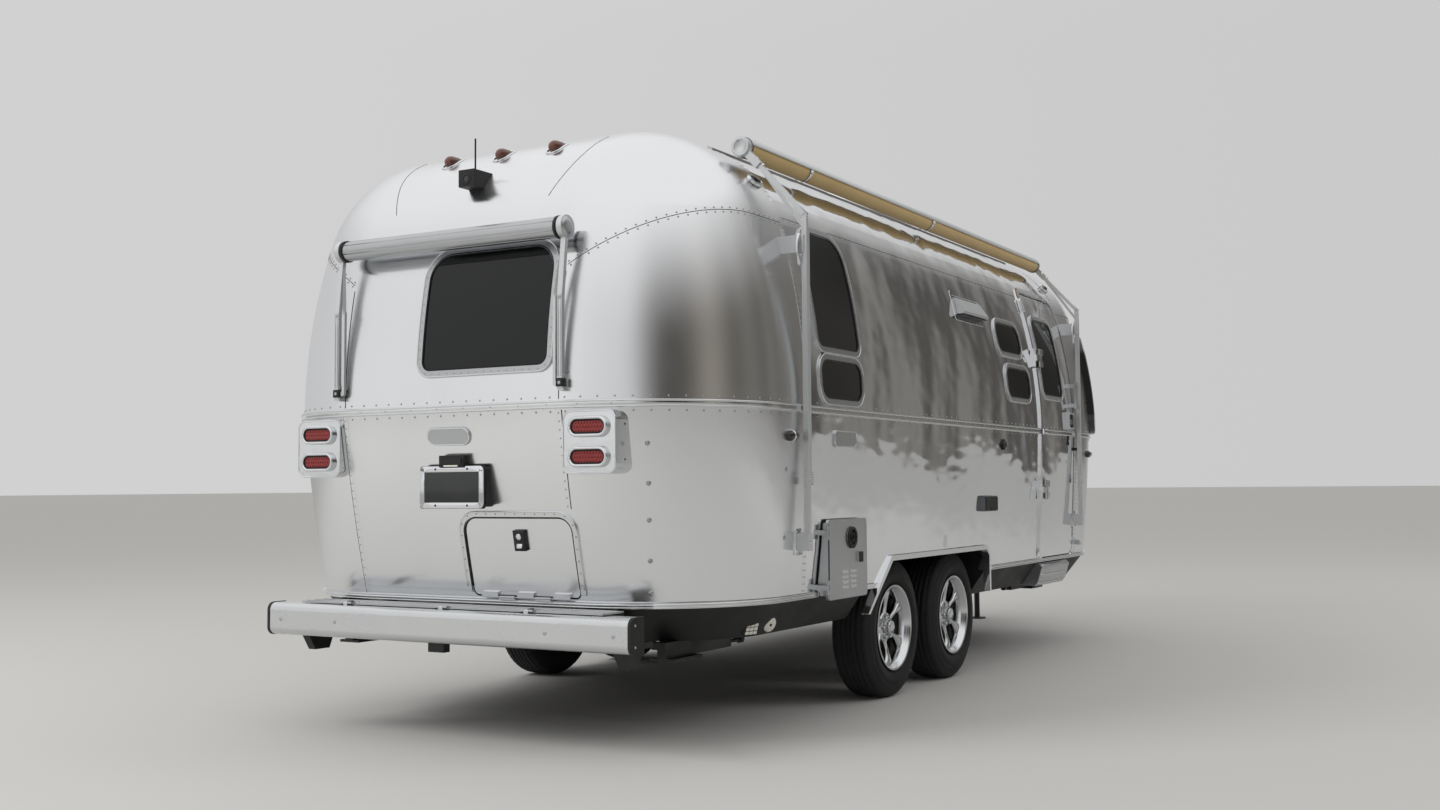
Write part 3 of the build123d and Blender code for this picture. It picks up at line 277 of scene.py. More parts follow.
def halfRound(width, height, steps=7, low=-0.001):
    # a bead's section: half an ellipse over a flat foot sunk a little below the surface
    angle = np.linspace(0, math.pi, steps)
    arc = np.stack([width / 2 * np.cos(angle), height * np.sin(angle)], 1)
    return np.concatenate([[[width / 2, low]], arc, [[-width / 2, low]]])


def flatStrip(width, height, low=-0.001, chamfer=0.0005):
    # a strip's section with its two upper edges broken
    half = width / 2
    return [(half, low), (half, height - chamfer), (half - chamfer, height), (chamfer - half, height),
            (-half, height - chamfer), (-half, low)]


def roundBar(radius, steps=10):  # a circle of points as a section
    angle = np.arange(steps) * 2 * math.pi / steps
    return np.stack([radius * np.cos(angle), radius * np.sin(angle)], 1)


def laid(outline, centre, right, up):
    # a flat outline placed on a plane: centre + u * right + v * up
    return np.asarray(centre, float) + outline[:, :1] * np.asarray(right) + outline[:, 1:2] * np.asarray(up)


def plate(centre, right, up, outline, thickness, chamfer=0.001):
    # an outline on a plane, with thickness along the cross product of right and up and a chamfered rim
    outline = np.asarray(outline, float)
    right = np.asarray(right, float) / np.linalg.norm(right)
    up = np.asarray(up, float) / np.linalg.norm(up)
    out = np.cross(right, up)
    middle = outline.mean(0)
    away = outline - middle
    inner = middle + away * (1 - chamfer / np.maximum(np.linalg.norm(away, axis=1), 1e-6))[:, None]
    rings = []
    for flat, lift in ((outline, 0.0), (outline, thickness - chamfer), (inner, thickness)):
        rings.append(laid(flat, centre, right, up) + lift * out)
    count = len(outline)
    faces = gridFaces(3, count, False, True).tolist()
    faces.append(list(range(count))[::-1])
    faces.append([2 * count + i for i in range(count)])
    return np.concatenate(rings), faces


def brick(low, high, chamfer=0.001):
    # a box between two corners with its upright edges and its top's edges broken
    low, high = np.minimum(low, high), np.maximum(low, high)
    a, b = (high - low)[:2] / 2
    c = min(chamfer, a / 2, b / 2)
    half = [(a, c - b), (a, b - c), (a - c, b), (c - a, b)]
    outline = half + [(-x, -y) for x, y in half]
    centre = ((low[0] + high[0]) / 2, (low[1] + high[1]) / 2, low[2])
    return plate(centre, toFront, toStreet, outline, high[2] - low[2], c)


headRings = ((1.0, -0.3), (1.0, 0.25), (0.66, 0.85))  # shares of a head's radius and height


def domes(points, normals, radius, height, sides=6):
    # low round heads: three rings and a top point, set on each place along its normal
    points = np.asarray(points, float).reshape(-1, 3)
    normals = np.broadcast_to(np.asarray(normals, float), points.shape)
    helper = np.where(np.abs(normals[:, 2:3]) < 0.9, [[0, 0, 1.0]], [[1.0, 0, 0]])
    across = np.cross(helper, normals)
    across /= np.linalg.norm(across, axis=1)[:, None]
    other = np.cross(normals, across)
    angle = np.arange(sides) * 2 * math.pi / sides
    ring = np.cos(angle)[None, :, None] * across[:, None] + np.sin(angle)[None, :, None] * other[:, None]
    layers = []
    for reach, lift in headRings:
        layers.append(points[:, None] + radius * reach * ring + height * lift * normals[:, None])
    layers.append(points[:, None] + height * normals[:, None])
    every = np.concatenate(layers, 1).reshape(-1, 3)
    i = np.arange(sides)
    j = (i + 1) % sides
    low = np.stack([i, j, j + sides, i + sides], 1)
    high = low + sides
    caps = np.stack([i + 2 * sides, j + 2 * sides, np.full(sides, 3 * sides)], 1)
    start = np.arange(len(points))[:, None, None] * (3 * sides + 1)
    walls = (start + np.concatenate([low, high])).reshape(-1, 4)
    return every, walls.tolist() + (start + caps).reshape(-1, 3).tolist()


def roundedRect(width, height, topRadius, lowRadius=None, steps=8):
    # an outline's points, anticlockwise from the low right corner, corners as quarter circles
    lowRadius = topRadius if lowRadius is None else lowRadius
    points = []
    for middleX, middleY, radius, first in (
        (width / 2 - lowRadius, -height / 2 + lowRadius, lowRadius, -90),
        (width / 2 - topRadius, height / 2 - topRadius, topRadius, 0),
        (-width / 2 + topRadius, height / 2 - topRadius, topRadius, 90),
        (-width / 2 + lowRadius, -height / 2 + lowRadius, lowRadius, 180),
    ):
        angle = np.radians(first + np.linspace(0, 90, steps))
        points.append(np.stack([middleX + radius * np.cos(angle), middleY + radius * np.sin(angle)], 1))
    return np.concatenate(points)


def filled(outline, spacing):
    # the same closed outline with more points along its long runs, so that it can follow a curved skin
    outline = np.concatenate([outline, outline[:1]])
    points = []
    for a, b in zip(outline[:-1], outline[1:]):
        count = max(int(np.linalg.norm(b - a) / spacing), 1)
        points.append(a + (b - a) * np.arange(count)[:, None] / count)
    return np.concatenate(points)


def outlineOf(size, spacing):
    # a rounded rectangle of (width, height, radius) with points no further apart than the spacing
    return filled(roundedRect(*size), spacing)


def kerbPlate(centre, size, thickness, chamfer=0.001):
    # a rounded plate that faces the kerb side
    return plate(centre, toFront, toSky, roundedRect(*size), thickness, chamfer)


def tailPlate(centre, size, thickness, chamfer=0.001):
    # a rounded plate that faces the rear
    return plate(centre, toKerb, toSky, roundedRect(*size), thickness, chamfer)


def kerbSpot(s, z):
    # the skin's point on the kerb side at a station and height
    return onSide(station(s), z, -1)[0]


def button(radius, foot, edge, topRadius, top):
    # a turned button's profile: out at the foot, up to the edge, in to a flat top
    return [(0, foot), (radius, foot), (radius, edge), (topRadius, top), (0, top)]


def pin(radius, half):  # a plain cylinder's profile
    return [(0, -half), (radius, -half), (radius, half), (0, half)]


# materials
mixFactor, mixColourA, mixColourB, mixResult = 0, 6, 7, 2  # sockets of a colour mix by number


def linear(hexColour):
    # an sRGB hex colour as linear RGBA
    value = np.array([int(hexColour[i : i + 2], 16) for i in (1, 3, 5)]) / 255
    value = np.where(value <= 0.04045, value / 12.92, ((value + 0.055) / 1.055) ** 2.4)
    return (*value.tolist(), 1.0)


def addNode(tree, kind, settings=None, links=None):
    # one node with its settings, and links from other nodes' sockets into its inputs
    node = tree.nodes.new(kind)
    for name, value in (settings or {}).items():
        if isinstance(name, int) or name in node.inputs:
            node.inputs[name].default_value = value
        else:
            setattr(node, name, value)
    for name, socket in (links or {}).items():
        tree.links.new(socket, node.inputs[name])
    return node


def startMaterial(name, colour, metallic, roughness, **more):
    # a new material with its colour, metallic, roughness and any other sockets of the shader set
    material = bpy.data.materials.new(name)
    material.use_nodes = True
    tree = material.node_tree
    shader = tree.nodes["Principled BSDF"]
    shader.inputs["Base Color"].default_value = linear(colour)
    shader.inputs["Metallic"].default_value = metallic
    shader.inputs["Roughness"].default_value = roughness
    for socket, value in more.items():
        shader.inputs[socket].default_value = value
    return material, tree, shader


def ripples(tree, shader, layers):
    # bumps one over another on Object coordinates, each: waves a metre, depth in metres, stretch and detail
    place = addNode(tree, "ShaderNodeTexCoord").outputs["Object"]
    last = None
    for scale, depth, stretch, detail in layers:
        moved = addNode(tree, "ShaderNodeMapping", {"Scale": stretch}, {"Vector": place})
        moved = {"Vector": moved.outputs["Vector"]}
        noise = addNode(tree, "ShaderNodeTexNoise", {"Scale": scale, "Detail": detail}, moved)
        links = {"Height": noise.outputs["Fac"]}
        if last:
            links["Normal"] = last.outputs["Normal"]
        last = addNode(tree, "ShaderNodeBump", {"Strength": 1.0, "Distance": depth}, links)
    tree.links.new(last.outputs["Normal"], shader.inputs["Normal"])
    return place


def patchyRoughness(tree, shader, place, scale, low, high, stretch=(1, 1, 1)):
    # hand-rubbed patches: roughness drifts between two values
    moved = addNode(tree, "ShaderNodeMapping", {"Scale": stretch}, {"Vector": place})
    moved = {"Vector": moved.outputs["Vector"]}
    haze = addNode(tree, "ShaderNodeTexNoise", {"Scale": scale, "Detail": 4.0}, moved)
    spread = addNode(
        tree, "ShaderNodeMapRange", {"From Min": 0.3, "From Max": 0.7, "To Min": low, "To Max": high},
        {"Value": haze.outputs["Fac"]},
    )
    tree.links.new(spread.outputs["Result"], shader.inputs["Roughness"])


def sheetAluminium():
    # bare rolled aluminium sheet: a clear mirror that ripples where the sheet is pulled over its ribs
    material, tree, shader = startMaterial("bareRolledAluminium", "#e9eaec", 1.0, 0.1)
    place = ripples(tree, shader, [
        (1.1, 0.026, (1.2, 1, 1), 0.0), (3.4, 0.006, (1.5, 1, 0.8), 0.0), (8.5, 0.0012, (1, 1, 1.7), 0.0),
    ])
    patchyRoughness(tree, shader, place, 3.0, 0.05, 0.1)
    return material


def capAluminium():
    # stretch-formed end sheets with a brushed grain round the body: reflections spread up and down
    material, tree, shader = startMaterial("brushedFormedAluminium", "#e8e9eb", 1.0, 0.18, Anisotropic=0.8)
    tangent = addNode(tree, "ShaderNodeTangent", {"direction_type": "RADIAL", "axis": "Z"})
    tree.links.new(tangent.outputs["Tangent"], shader.inputs["Tangent"])
    place = ripples(tree, shader, [(0.9, 0.02, (1, 1, 0.6), 0.0), (2.6, 0.003, (1, 1, 0.6), 0.0)])
    patchyRoughness(tree, shader, place, 2.4, 0.15, 0.24, (1, 1, 0.5))
    return material


def plain(name, colour, metallic, roughness, grain=(300.0, 0.0002), spread=0.0, coat=0.0):
    # a material with a fine surface grain (waves a metre, depth), and if asked, worn patches or a clear coat
    material, tree, shader = startMaterial(name, colour, metallic, roughness, **{"Coat Weight": coat})
    scale, depth = grain
    place = ripples(tree, shader, [(scale, depth, (1, 1, 1), 2.0)])
    if spread:
        patchyRoughness(tree, shader, place, 6.0, roughness - spread, roughness + spread)
    return material


def tintAndPaintedShadeGlass():
    # solar-tinted toughened glass: nearly black from its tint and from painted shade of the cabin behind it;
    # a clean reflection and a slight roll
    more = {"IOR": 1.52, "Specular IOR Level": 0.35}
    # the near-black colour is the glass's tint plus painted shade of the unlit cabin, since the glass is
    # opaque
    material, tree, shader = startMaterial("solarTintedGlassPaintedShade", "#0a0c0d", 0.0, 0.03, **more)
    ripples(tree, shader, [(2.6, 0.0016, (1, 1, 1), 0.0)])
    return material


def wovenCloth(name, colour, faded):
    # dyed woven acrylic, threads 0.6 mm apart drawn at 6 mm so that they show, bleached in patches
    material, tree, shader = startMaterial(name, colour, 0.0, 0.85, **{"Sheen Weight": 0.2})
    place = addNode(tree, "ShaderNodeTexCoord").outputs["Object"]
    height = None
    for axis, scale in (("X", 52.0), ("Z", 52.0)):
        rib = addNode(tree, "ShaderNodeTexWave", {"Scale": scale, "bands_direction": axis}, {"Vector": place})
        links = {"Height": rib.outputs["Fac"]}
        if height:
            links["Normal"] = height.outputs["Normal"]
        height = addNode(tree, "ShaderNodeBump", {"Strength": 0.5, "Distance": 0.0004}, links)
    tree.links.new(height.outputs["Normal"], shader.inputs["Normal"])
    fade = addNode(tree, "ShaderNodeTexNoise", {"Scale": 3.0, "Detail": 3.0}, {"Vector": place})
    tone = addNode(
        tree, "ShaderNodeMix", {"data_type": "RGBA", mixColourA: linear(colour), mixColourB: linear(faded)},
        {mixFactor: fade.outputs["Fac"]},
    )
    tree.links.new(tone.outputs[mixResult], shader.inputs["Base Color"])
    return material


finish = {
    "skin": sheetAluminium(),
    "capSkin": capAluminium(),
    "glass": tintAndPaintedShadeGlass(),
    # polished extruded aluminium: bright, faint die lines
    "brightTrim": plain("polishedExtrudedAluminium", "#dfe1e2", 1.0, 0.13, (26.0, 0.0004), 0.04),
    # solid aluminium rivets, bucked by hand and polished with the sheet: low heads, a little dull
    "rivet": plain("polishedAluminiumRivets", "#aeb0b1", 1.0, 0.3),
    # anodised aluminium: even satin grey
    "satin": plain("satinAnodisedAluminium", "#c0c2c4", 1.0, 0.34, (420.0, 0.00004), 0.05),
    # painted extrusion of the awning arms: clean grey-white, low gloss
    "paintedArm": plain("powderCoatedExtrusion", "#c9cbcc", 0.55, 0.32, (500.0, 0.00003)),
    # mill-finish aluminium plate of the bumper: bright with broad soft marks
    "bumper": plain("polishedAluminiumBumper", "#d6d8d9", 1.0, 0.23, (5.0, 0.0016), 0.08),
    # chassis paint over steel: black, a little orange peel and road dust
    "blackSteel": plain("blackChassisPaint", "#131414", 0.0, 0.45, (160.0, 0.0003), 0.12),
    # moulded ABS: matt black, fine grain
    "blackPlastic": plain("mouldedBlackAbs", "#111212", 0.0, 0.52, (700.0, 0.0001), 0.06),
    # moulded ABS in mid grey, slightly shiny
    "greyPlastic": plain("mouldedGreyAbs", "#63666a", 0.0, 0.35, (700.0, 0.0001), 0.05),
    # moulded EPDM rubber: dull black
    "rubber": plain("mouldedBlackRubber", "#0c0c0d", 0.0, 0.72, (900.0, 0.0001)),
    # tyre rubber: charcoal, dull, dusty
    "tyre": plain("mouldedTyreRubber", "#1b1b1c", 0.0, 0.8, (380.0, 0.0002), 0.08),
    # cast alloy wheel, machined and lacquered
    "alloy": plain("lacqueredCastAlloy", "#d8dadc", 1.0, 0.17, (90.0, 0.0001), 0.05),
    # grey cast iron of the brake drum behind the spokes
    "drum": plain("castIronDrum", "#3b3936", 0.7, 0.55, (120.0, 0.0004), 0.1),
    # chromed zinc: clean mirror
    "chrome": plain("chromedZinc", "#e4e6e9", 1.0, 0.06, (40.0, 0.00008)),
    # moulded acrylic lenses: deep clear colour
    "redLens": plain("mouldedRedAcrylic", "#7c1411", 0.0, 0.16, (90.0, 0.0006), coat=0.35),
    "amberLens": plain("mouldedAmberAcrylic", "#5b3322", 0.0, 0.16, (90.0, 0.0004), coat=0.6),
    "darkLens": plain("smokedAmberAcrylic", "#1a0f0b", 0.0, 0.1, (90.0, 0.0003), coat=0.6),
    "clearLens": plain("mouldedClearAcrylic", "#d9d6cc", 0.0, 0.12, (70.0, 0.0006), coat=0.5),
    # moulded ASA roof shroud: warm white, semi-gloss
    "whitePlastic": plain("mouldedWhiteAsa", "#e4e3df", 0.0, 0.38, (300.0, 0.0001), 0.05),
    # birch laminate and vinyl inside
    "cabinet": plain("birchLaminate", "#9a7a55", 0.0, 0.5, (14.0, 0.0004), 0.05),
    "floorBoard": plain("vinylFloor", "#6f6558", 0.0, 0.6, (30.0, 0.0002), 0.05),
    # smoked acrylic cover: black with a sharp reflection
    "smoked": plain("smokedAcrylicCover", "#141618", 0.0, 0.08, (3.0, 0.001), coat=0.5),
    # awning cloth: tan woven acrylic
    "awningCloth": wovenCloth("wovenAcrylicCloth", "#b0945f", "#c2a874"),
}
print("materials made:", len(finish))

nodeFinish = {
    "skin": ["kerb_wall", "street_wall", "roof", "entry_door"],
    "capSkin": ["rear_cap", "front_cap", "rear_hatch", "gas_cover"],
    "glass": ["window_glass", "door_glass"],
    "brightTrim": [
        "mouldings", "arch_trims", "lamp_housings", "hatch_frame", "door_hinges", "door_hinge_mounts",
    ],
    "satin": [
        "window_frames", "door_frame", "heater", "rear_locker", "badges", "heater_door", "rear_roller",
        "awning_rails", "wall_fittings", "entry_step", "bumper_lid", "door_lock",
    ],
    "paintedArm": ["awning_arms"],
    "bumper": ["bumper"],
    "blackSteel": ["chassis_frame", "axles", "bumper_tray", "stabilisers", "coupler", "tongue_jack"],
    "blackPlastic": ["belly_pan", "wheel_wells", "bumper_ends", "plate_holder", "rear_camera"],
    "greyPlastic": ["wall_sockets"],
    "redLens": ["lamp_lenses"],
    "darkLens": ["side_markers"],
    "amberLens": ["top_markers"],
    "whitePlastic": ["air_conditioner", "roof_vents"],
    "cabinet": ["furniture"],
    "floorBoard": ["floor"],
    "smoked": ["stone_guards"],
    "awningCloth": ["awning_roller"],
    "alloy": [name for name in nodes if name.startswith("rim_")],
    "tyre": [name for name in nodes if name.startswith("tyre_")],
}
for key, names in nodeFinish.items():
    for name in names:
        nodes[name].data.materials.clear()
        nodes[name].data.materials.append(finish[key])
print("pieces painted")

# stage, light and camera
stageLook = {
    "floor": "#b5b4b1", "floorRoughness": 0.9, "size": 400.0,
    "sky": "#ffffff", "skyRise": (0.28, 0.74), "strength": 0.95,  # it comes in between these slopes of view
    # grey boards near the horizon by the turn of the view: 0 at the tail, by the kerb side, the nose and the
    # street side to 1
    "bands": [
        (0.00, "#e6e6e6"), (0.065, "#e2e2e2"), (0.1, "#8b8987"), (0.125, "#3d3a37"), (0.17, "#3a3733"),
        (0.2, "#77726b"), (0.225, "#a8a298"), (0.25, "#8a857c"), (0.28, "#55524e"), (0.33, "#7d7a74"),
        (0.37, "#55524e"), (0.395, "#8d8a84"), (0.415, "#4e4c49"), (0.435, "#85827d"), (0.455, "#53514e"),
        (0.475, "#8a8885"), (0.508, "#cfcfcf"), (0.66, "#d6d6d6"), (0.8, "#dcdcdc"), (0.91, "#f6f6f6"),
        (1.00, "#e6e6e6"),
    ],
}


def buildStage():
    # a pale floor out to the horizon, under a white sky with light and dark studio boards low down
    material = startMaterial("paleFloor", stageLook["floor"], 0.0, stageLook["floorRoughness"])[0]
    size = stageLook["size"]
    mesh = bpy.data.meshes.new("stageFloor")
    corners = [(-size, -size, 0), (size, -size, 0), (size, size, 0), (-size, size, 0)]
    mesh.from_pydata(corners, [], [(0, 1, 2, 3)])
    mesh.materials.append(material)
    addObject("stageFloor", mesh)
    world = bpy.data.worlds.new("studio")
    bpy.context.scene.world = world
    world.use_nodes = True
    tree = world.node_tree
    background = tree.nodes["Background"]
    background.inputs["Strength"].default_value = stageLook["strength"]
    toward = addNode(tree, "ShaderNodeTexCoord").outputs["Generated"]
    parts = addNode(tree, "ShaderNodeSeparateXYZ", None, {"Vector": toward})
    around = addNode(tree, "ShaderNodeTexGradient", {"gradient_type": "RADIAL"}, {"Vector": toward})
    boards = addNode(tree, "ShaderNodeValToRGB", None, {"Fac": around.outputs["Fac"]})
    boards.color_ramp.interpolation = "EASE"
    stops = boards.color_ramp.elements
    stops.remove(stops[1])
    for place, colour in stageLook["bands"]:
        stop = stops[0] if place == 0 else stops.new(place)
        stop.position, stop.color = place, linear(colour)
    low, high = stageLook["skyRise"]
    rise = {"interpolation_type": "SMOOTHSTEP", "From Min": low, "From Max": high}
    height = addNode(tree, "ShaderNodeMapRange", rise, {"Value": parts.outputs["Z"]})
    sky = addNode(
        tree, "ShaderNodeMix", {"data_type": "RGBA", mixColourB: linear(stageLook["sky"])},
        {mixFactor: height.outputs["Result"], mixColourA: boards.outputs["Color"]},
    )
    tree.links.new(sky.outputs[mixResult], background.inputs["Color"])


lampAim = (0, 0, 1.3)
lampTable = [
    # name, place, size, watts
    ("keyLamp", (-11.0, 6.0, 9.0), 6.0, 1000.0),
    ("fillLamp", (5.0, -13.0, 8.0), 7.0, 500.0),
]


def buildLamps():
    for name, place, size, watts in lampTable:
        light = bpy.data.lights.new(name, "AREA")
        light.size = size
        light.energy = watts
        lamp = addObject(name, light)
        lamp.location = place
        lamp.visible_glossy = False  # bare metal shows the sky and the boards, not the lamps' squares
        toward = np.array(lampAim) - np.array(place)
        toward /= np.linalg.norm(toward)
        lamp.rotation_euler = (math.acos(-toward[2]), 0, math.atan2(toward[1], toward[0]) - math.pi / 2)


photoCamera = {
    "place": (-4.9756, -4.2396, 1.1123),  # x counted from the rearmost skin
    "yaw": 29.804, "pitch": 3.204, "roll": -0.428, "lens": 36.45, "sensor": 36.0,
}


def buildCamera():
    # the view turned to the left of straight ahead by yaw and up by pitch, then rolled
    camera = bpy.data.cameras.new("photoCamera")
    camera.lens = photoCamera["lens"]
    camera.sensor_width = photoCamera["sensor"]
    rig = addObject("photoCamera", camera)
    x, y, z = photoCamera["place"]
    rig.location = (station(x), y, z)
    rig.rotation_mode = "XYZ"
    yaw, pitch, roll = (math.radians(photoCamera[key]) for key in ("yaw", "pitch", "roll"))
    forward = np.array([math.cos(yaw) * math.cos(pitch), math.sin(yaw) * math.cos(pitch), math.sin(pitch)])
    right = np.array([math.sin(yaw), -math.cos(yaw), 0.0])
    up = np.cross(right, forward)
    rolledRight = math.cos(roll) * right + math.sin(roll) * up
    rolledUp = -math.sin(roll) * right + math.cos(roll) * up
    turn = Matrix([[rolledRight[i], rolledUp[i], -forward[i]] for i in range(3)])
    rig.rotation_euler = turn.to_euler("XYZ")
    bpy.context.scene.camera = rig


buildStage()
buildLamps()
buildCamera()
bpy.context.scene.view_settings.view_transform = "Standard"
print("stage ready")

# seams of the shell: laps between sheets and the rows of rivets beside them; -1 is the tail or the kerb side
seamLook = {
    "lap": (0.034, 0.0012), "gap": (0.0032, 0.0006, -0.002),  # width, height and sunk foot
    "rivet": (0.0048, 0.0026), "pitch": 0.031, "rowOffset": 0.009, "rowInset": 0.012,
    "columnFoot": 0.626, "columnTop": 2.3, "shortTop": 1.44,  # the short one stands beside the entry door
    "shoulderTop": 2.331, "shoulderDrop": {-1: 0.29, 1: 0.095}, "shoulderPower": 2.3,
    "shoulderStart": 0.035, "shoulderOffset": 0.011, "shoulderPitch": 0.047,
    "petalY": 0.54, "petalSpread": 0.126, "petalReach": 0.351, "petalStart": 0.156, "petalEnd": 0.48,
    "petalCrowd": 1.6,
    "endY": 0.606, "endFoot": 0.63, "hatchFoot": 1.022, "endTop": 1.44,  # one stands on the hatch's ring
    "endLap": (0.022, 0.001), "endGapShift": 0.0125, "endPitch": 0.036, "endOffset": -0.003,
    "highFoot": 1.486, "highTop": {-1: 2.035, 1: 2.225},
    "roofReach": 1.12, "roofLap": (0.024, 0.001), "roofPitch": 0.045, "jointRoom": 0.03,
    "wallLine": 2.36, "wallLineEnd": {-1: 4.375, 1: 5.22},  # short of the door's frame on the kerb side
    "wallPitch": 0.06, "wallOffset": 0.008,
    # plugs in the kerb side's rear corner by turn and height, and on the wall by station and height
    "plug": (0.011, 0.0035), "sidePlugs": ((0.775, 1.189), (0.775, 0.886)),
    "cornerPlugs": ((0.365, 1.296), (0.355, 1.129), (0.342, 0.975), (0.327, 0.804), (0.312, 0.665)),
}
rivetSpots = []


def rivetRow(line, pitch, offset=0.0):
    # rivets along a line on the skin, moved sideways within the skin by offset
    points, normals = spaced(*line, pitch, inset=seamLook["rowInset"])
    if offset:
        ahead = np.gradient(points, axis=0)
        across = np.cross(ahead, normals)
        points = points + offset * across / np.linalg.norm(across, axis=1)[:, None]
    rivetSpots.append(domes(points, normals, *seamLook["rivet"]))


def shoulderSeam(side, end):
    # over the corner z = top - drop * (1 - turn) ** power, then level along the side to the cap's joint
    turn = np.linspace(seamLook["shoulderStart"], 1, 40)
    z = seamLook["shoulderTop"] - seamLook["shoulderDrop"][end] * (1 - turn) ** seamLook["shoulderPower"]
    corner = onCorner(turn, z, side, end)
    joint = station(shell["rearSeam"] if end < 0 else shell["frontSeam"])
    start = corner[0][-1, 0]
    run = onSide(np.linspace(start, joint, 8)[1:], seamLook["shoulderTop"], side)
    return np.concatenate([corner[0], run[0]]), np.concatenate([corner[1], run[1]])


def domePoint(x, y, end):
    # the skin's height and normal at a plan point of the dome: a ball's edge rolled round the corner
    fromEnd = (x - shell["rear"]) if end < 0 else (noseX - x)
    inX = np.maximum(shell["capDepth"] - fromEnd, 0)
    inY = np.maximum(np.abs(y) - cornerY, 0)
    over = np.minimum(np.hypot(inX, inY), shoulderRadius * 0.9999)
    z = shoulderCentre + np.sqrt(shoulderRadius ** 2 - over ** 2)
    lean = np.stack([end * inX, np.sign(y) * inY, z - shoulderCentre], -1) / shoulderRadius
    return np.stack([x, y, z], -1), lean


def petalSeam(side, end):
    # in plan y = petalY - spread * ((petalEnd - s) / reach) ** 3 up to petalEnd, then straight to the joint
    joint = shell["rearSeam"] if end < 0 else shell["length"] - shell["frontSeam"]
    bend = np.linspace(0, 1, 24) ** seamLook["petalCrowd"]
    s = seamLook["petalStart"] + (seamLook["petalEnd"] - seamLook["petalStart"]) * bend
    s = np.concatenate([s, [0.6, 0.8, joint]])
    short = np.maximum(seamLook["petalEnd"] - s, 0) / seamLook["petalReach"]
    y = side * (seamLook["petalY"] - seamLook["petalSpread"] * short ** 3)
    x = station(s) if end < 0 else noseX - s
    return domePoint(x, y, end)


def endColumn(y, low, high, end):
    return onEnd(y, np.linspace(low, high, 24), end)


def endSeams(side, end, laps, gaps):
    # the seams of one quarter of the body: at the cap's joint, over the shoulder, on the dome and on the end
    look = seamLook
    x = station(shell["rearSeam"] if end < 0 else shell["frontSeam"])
    top, steps = (look["shortTop"], 30) if side < 0 < end else (look["columnTop"], 60)
    column = onSide(x, np.linspace(look["columnFoot"], top, steps), side)
    laps.append(swept(*column, flatStrip(*look["lap"])))
    for offset in (-look["rowOffset"], look["rowOffset"]):
        rivetRow(column, look["pitch"], offset)
    gap = flatStrip(*look["gap"])
    shoulder = shoulderSeam(side, end)
    gaps.append(swept(*shoulder, gap))
    for offset in (-look["shoulderOffset"], look["shoulderOffset"]):
        rivetRow(shoulder, look["shoulderPitch"], offset)
    gaps.append(swept(*petalSeam(side, end), gap))
    foot = look["hatchFoot"] if side < 0 and end < 0 else look["endFoot"]
    low = endColumn(side * look["endY"], foot, look["endTop"], end)
    laps.append(swept(*low, flatStrip(*look["endLap"])))
    beside = side * (look["endY"] + look["endGapShift"])
    gaps.append(swept(*endColumn(beside, foot, look["endTop"], end), gap))
    rivetRow(low, look["endPitch"], look["endOffset"])
    gaps.append(swept(*endColumn(side * look["endY"], look["highFoot"], look["highTop"][end], end), gap))


def buildSeams():
    look = seamLook
    laps, gaps = [], []
    for end, seam in ((-1, shell["rearSeam"]), (1, shell["frontSeam"])):
        for side in (-1, 1):
            endSeams(side, end, laps, gaps)
        across = onRoof(station(seam), np.linspace(-look["roofReach"], look["roofReach"], 70))
        laps.append(swept(*across, flatStrip(*look["lap"])))
        for offset in (-look["rowOffset"], look["rowOffset"]):
            rivetRow(across, look["pitch"], offset)
    rear = station(shell["rearSeam"] + look["jointRoom"])
    front = station(shell["frontSeam"] - look["jointRoom"])
    for side in (-1, 1):
        along = onRoof(np.linspace(rear, front, 40), side * look["petalY"])
        laps.append(swept(*along, flatStrip(*look["roofLap"])))
        rivetRow(along, look["roofPitch"])
        wall = onSide(np.linspace(rear, station(look["wallLineEnd"][side]), 36), look["wallLine"], side)
        gaps.append(swept(*wall, flatStrip(*look["gap"])))
        rivetRow(wall, look["wallPitch"], look["wallOffset"])
    plugs = [onCorner(turn, z, -1, -1) for turn, z in look["cornerPlugs"]]
    plugs += [onSide(station(s), z, -1) for s, z in look["sidePlugs"]]
    points, normals = zip(*plugs)
    rivetSpots.append(domes(points, normals, *look["plug"], 12))
    finishPiece("sheetLaps", laps, "capSkin", smooth=False)
    finishPiece("panelGaps", gaps, "rubber", smooth=False)


buildSeams()
print("seams laid")

# mouldings: beads over the belt rail and the sill rail, screws between, rivets over and under the belt
railLook = {
    "bead": (0.0095, 0.004), "proud": 0.012, "sunk": 0.0003,
    "beltRise": 0.0115, "sillHeights": (0.606, 0.618),
    "beltCuts": [(4.405, 5.222, -1)],  # from and to these stations on one side, for the entry door
    "sillCuts": [(1.128, 1.612, -1), (1.64, 3.47, -1), (1.64, 3.47, 1)],  # the heater, the wheel arches
    "sideFrom": 1.1, "step": 0.03,
    "screw": (0.0035, 0.0014), "screwPitch": 0.15, "screwInset": 0.04,
    "strip": 4.424, "stripRuns": ((0.66, 1.43), (1.49, 2.24)), "stripPitch": 0.075,  # beside the hinges
    "rivet": (0.0048, 0.0026), "rivetRise": 0.0305, "rivetPitch": 0.075,
    "doorSpan": (4.505, 5.196), "doorInset": 0.02,
}


def brokenRing(z, proud, cuts):
    # the body's outline at one height as open runs, left out where it would cross the cuts
    points, normals = girth(z, proud)
    points, normals = spaced(points, normals, railLook["step"], True)
    keep = np.ones(len(points), bool)
    for s0, s1, side in cuts:
        inside = (points[:, 0] > station(s0)) & (points[:, 0] < station(s1))
        keep &= ~(inside & (points[:, 1] * side > railLook["sideFrom"]))
    first = int(np.flatnonzero(~keep)[0])
    points, normals, keep = (np.roll(a, -first, 0) for a in (points, normals, keep))
    edges = np.flatnonzero(np.diff(np.concatenate([[0], keep.astype(int), [0]])))
    return [(points[a:b], normals[a:b]) for a, b in zip(edges[::2], edges[1::2]) if b - a > 3]


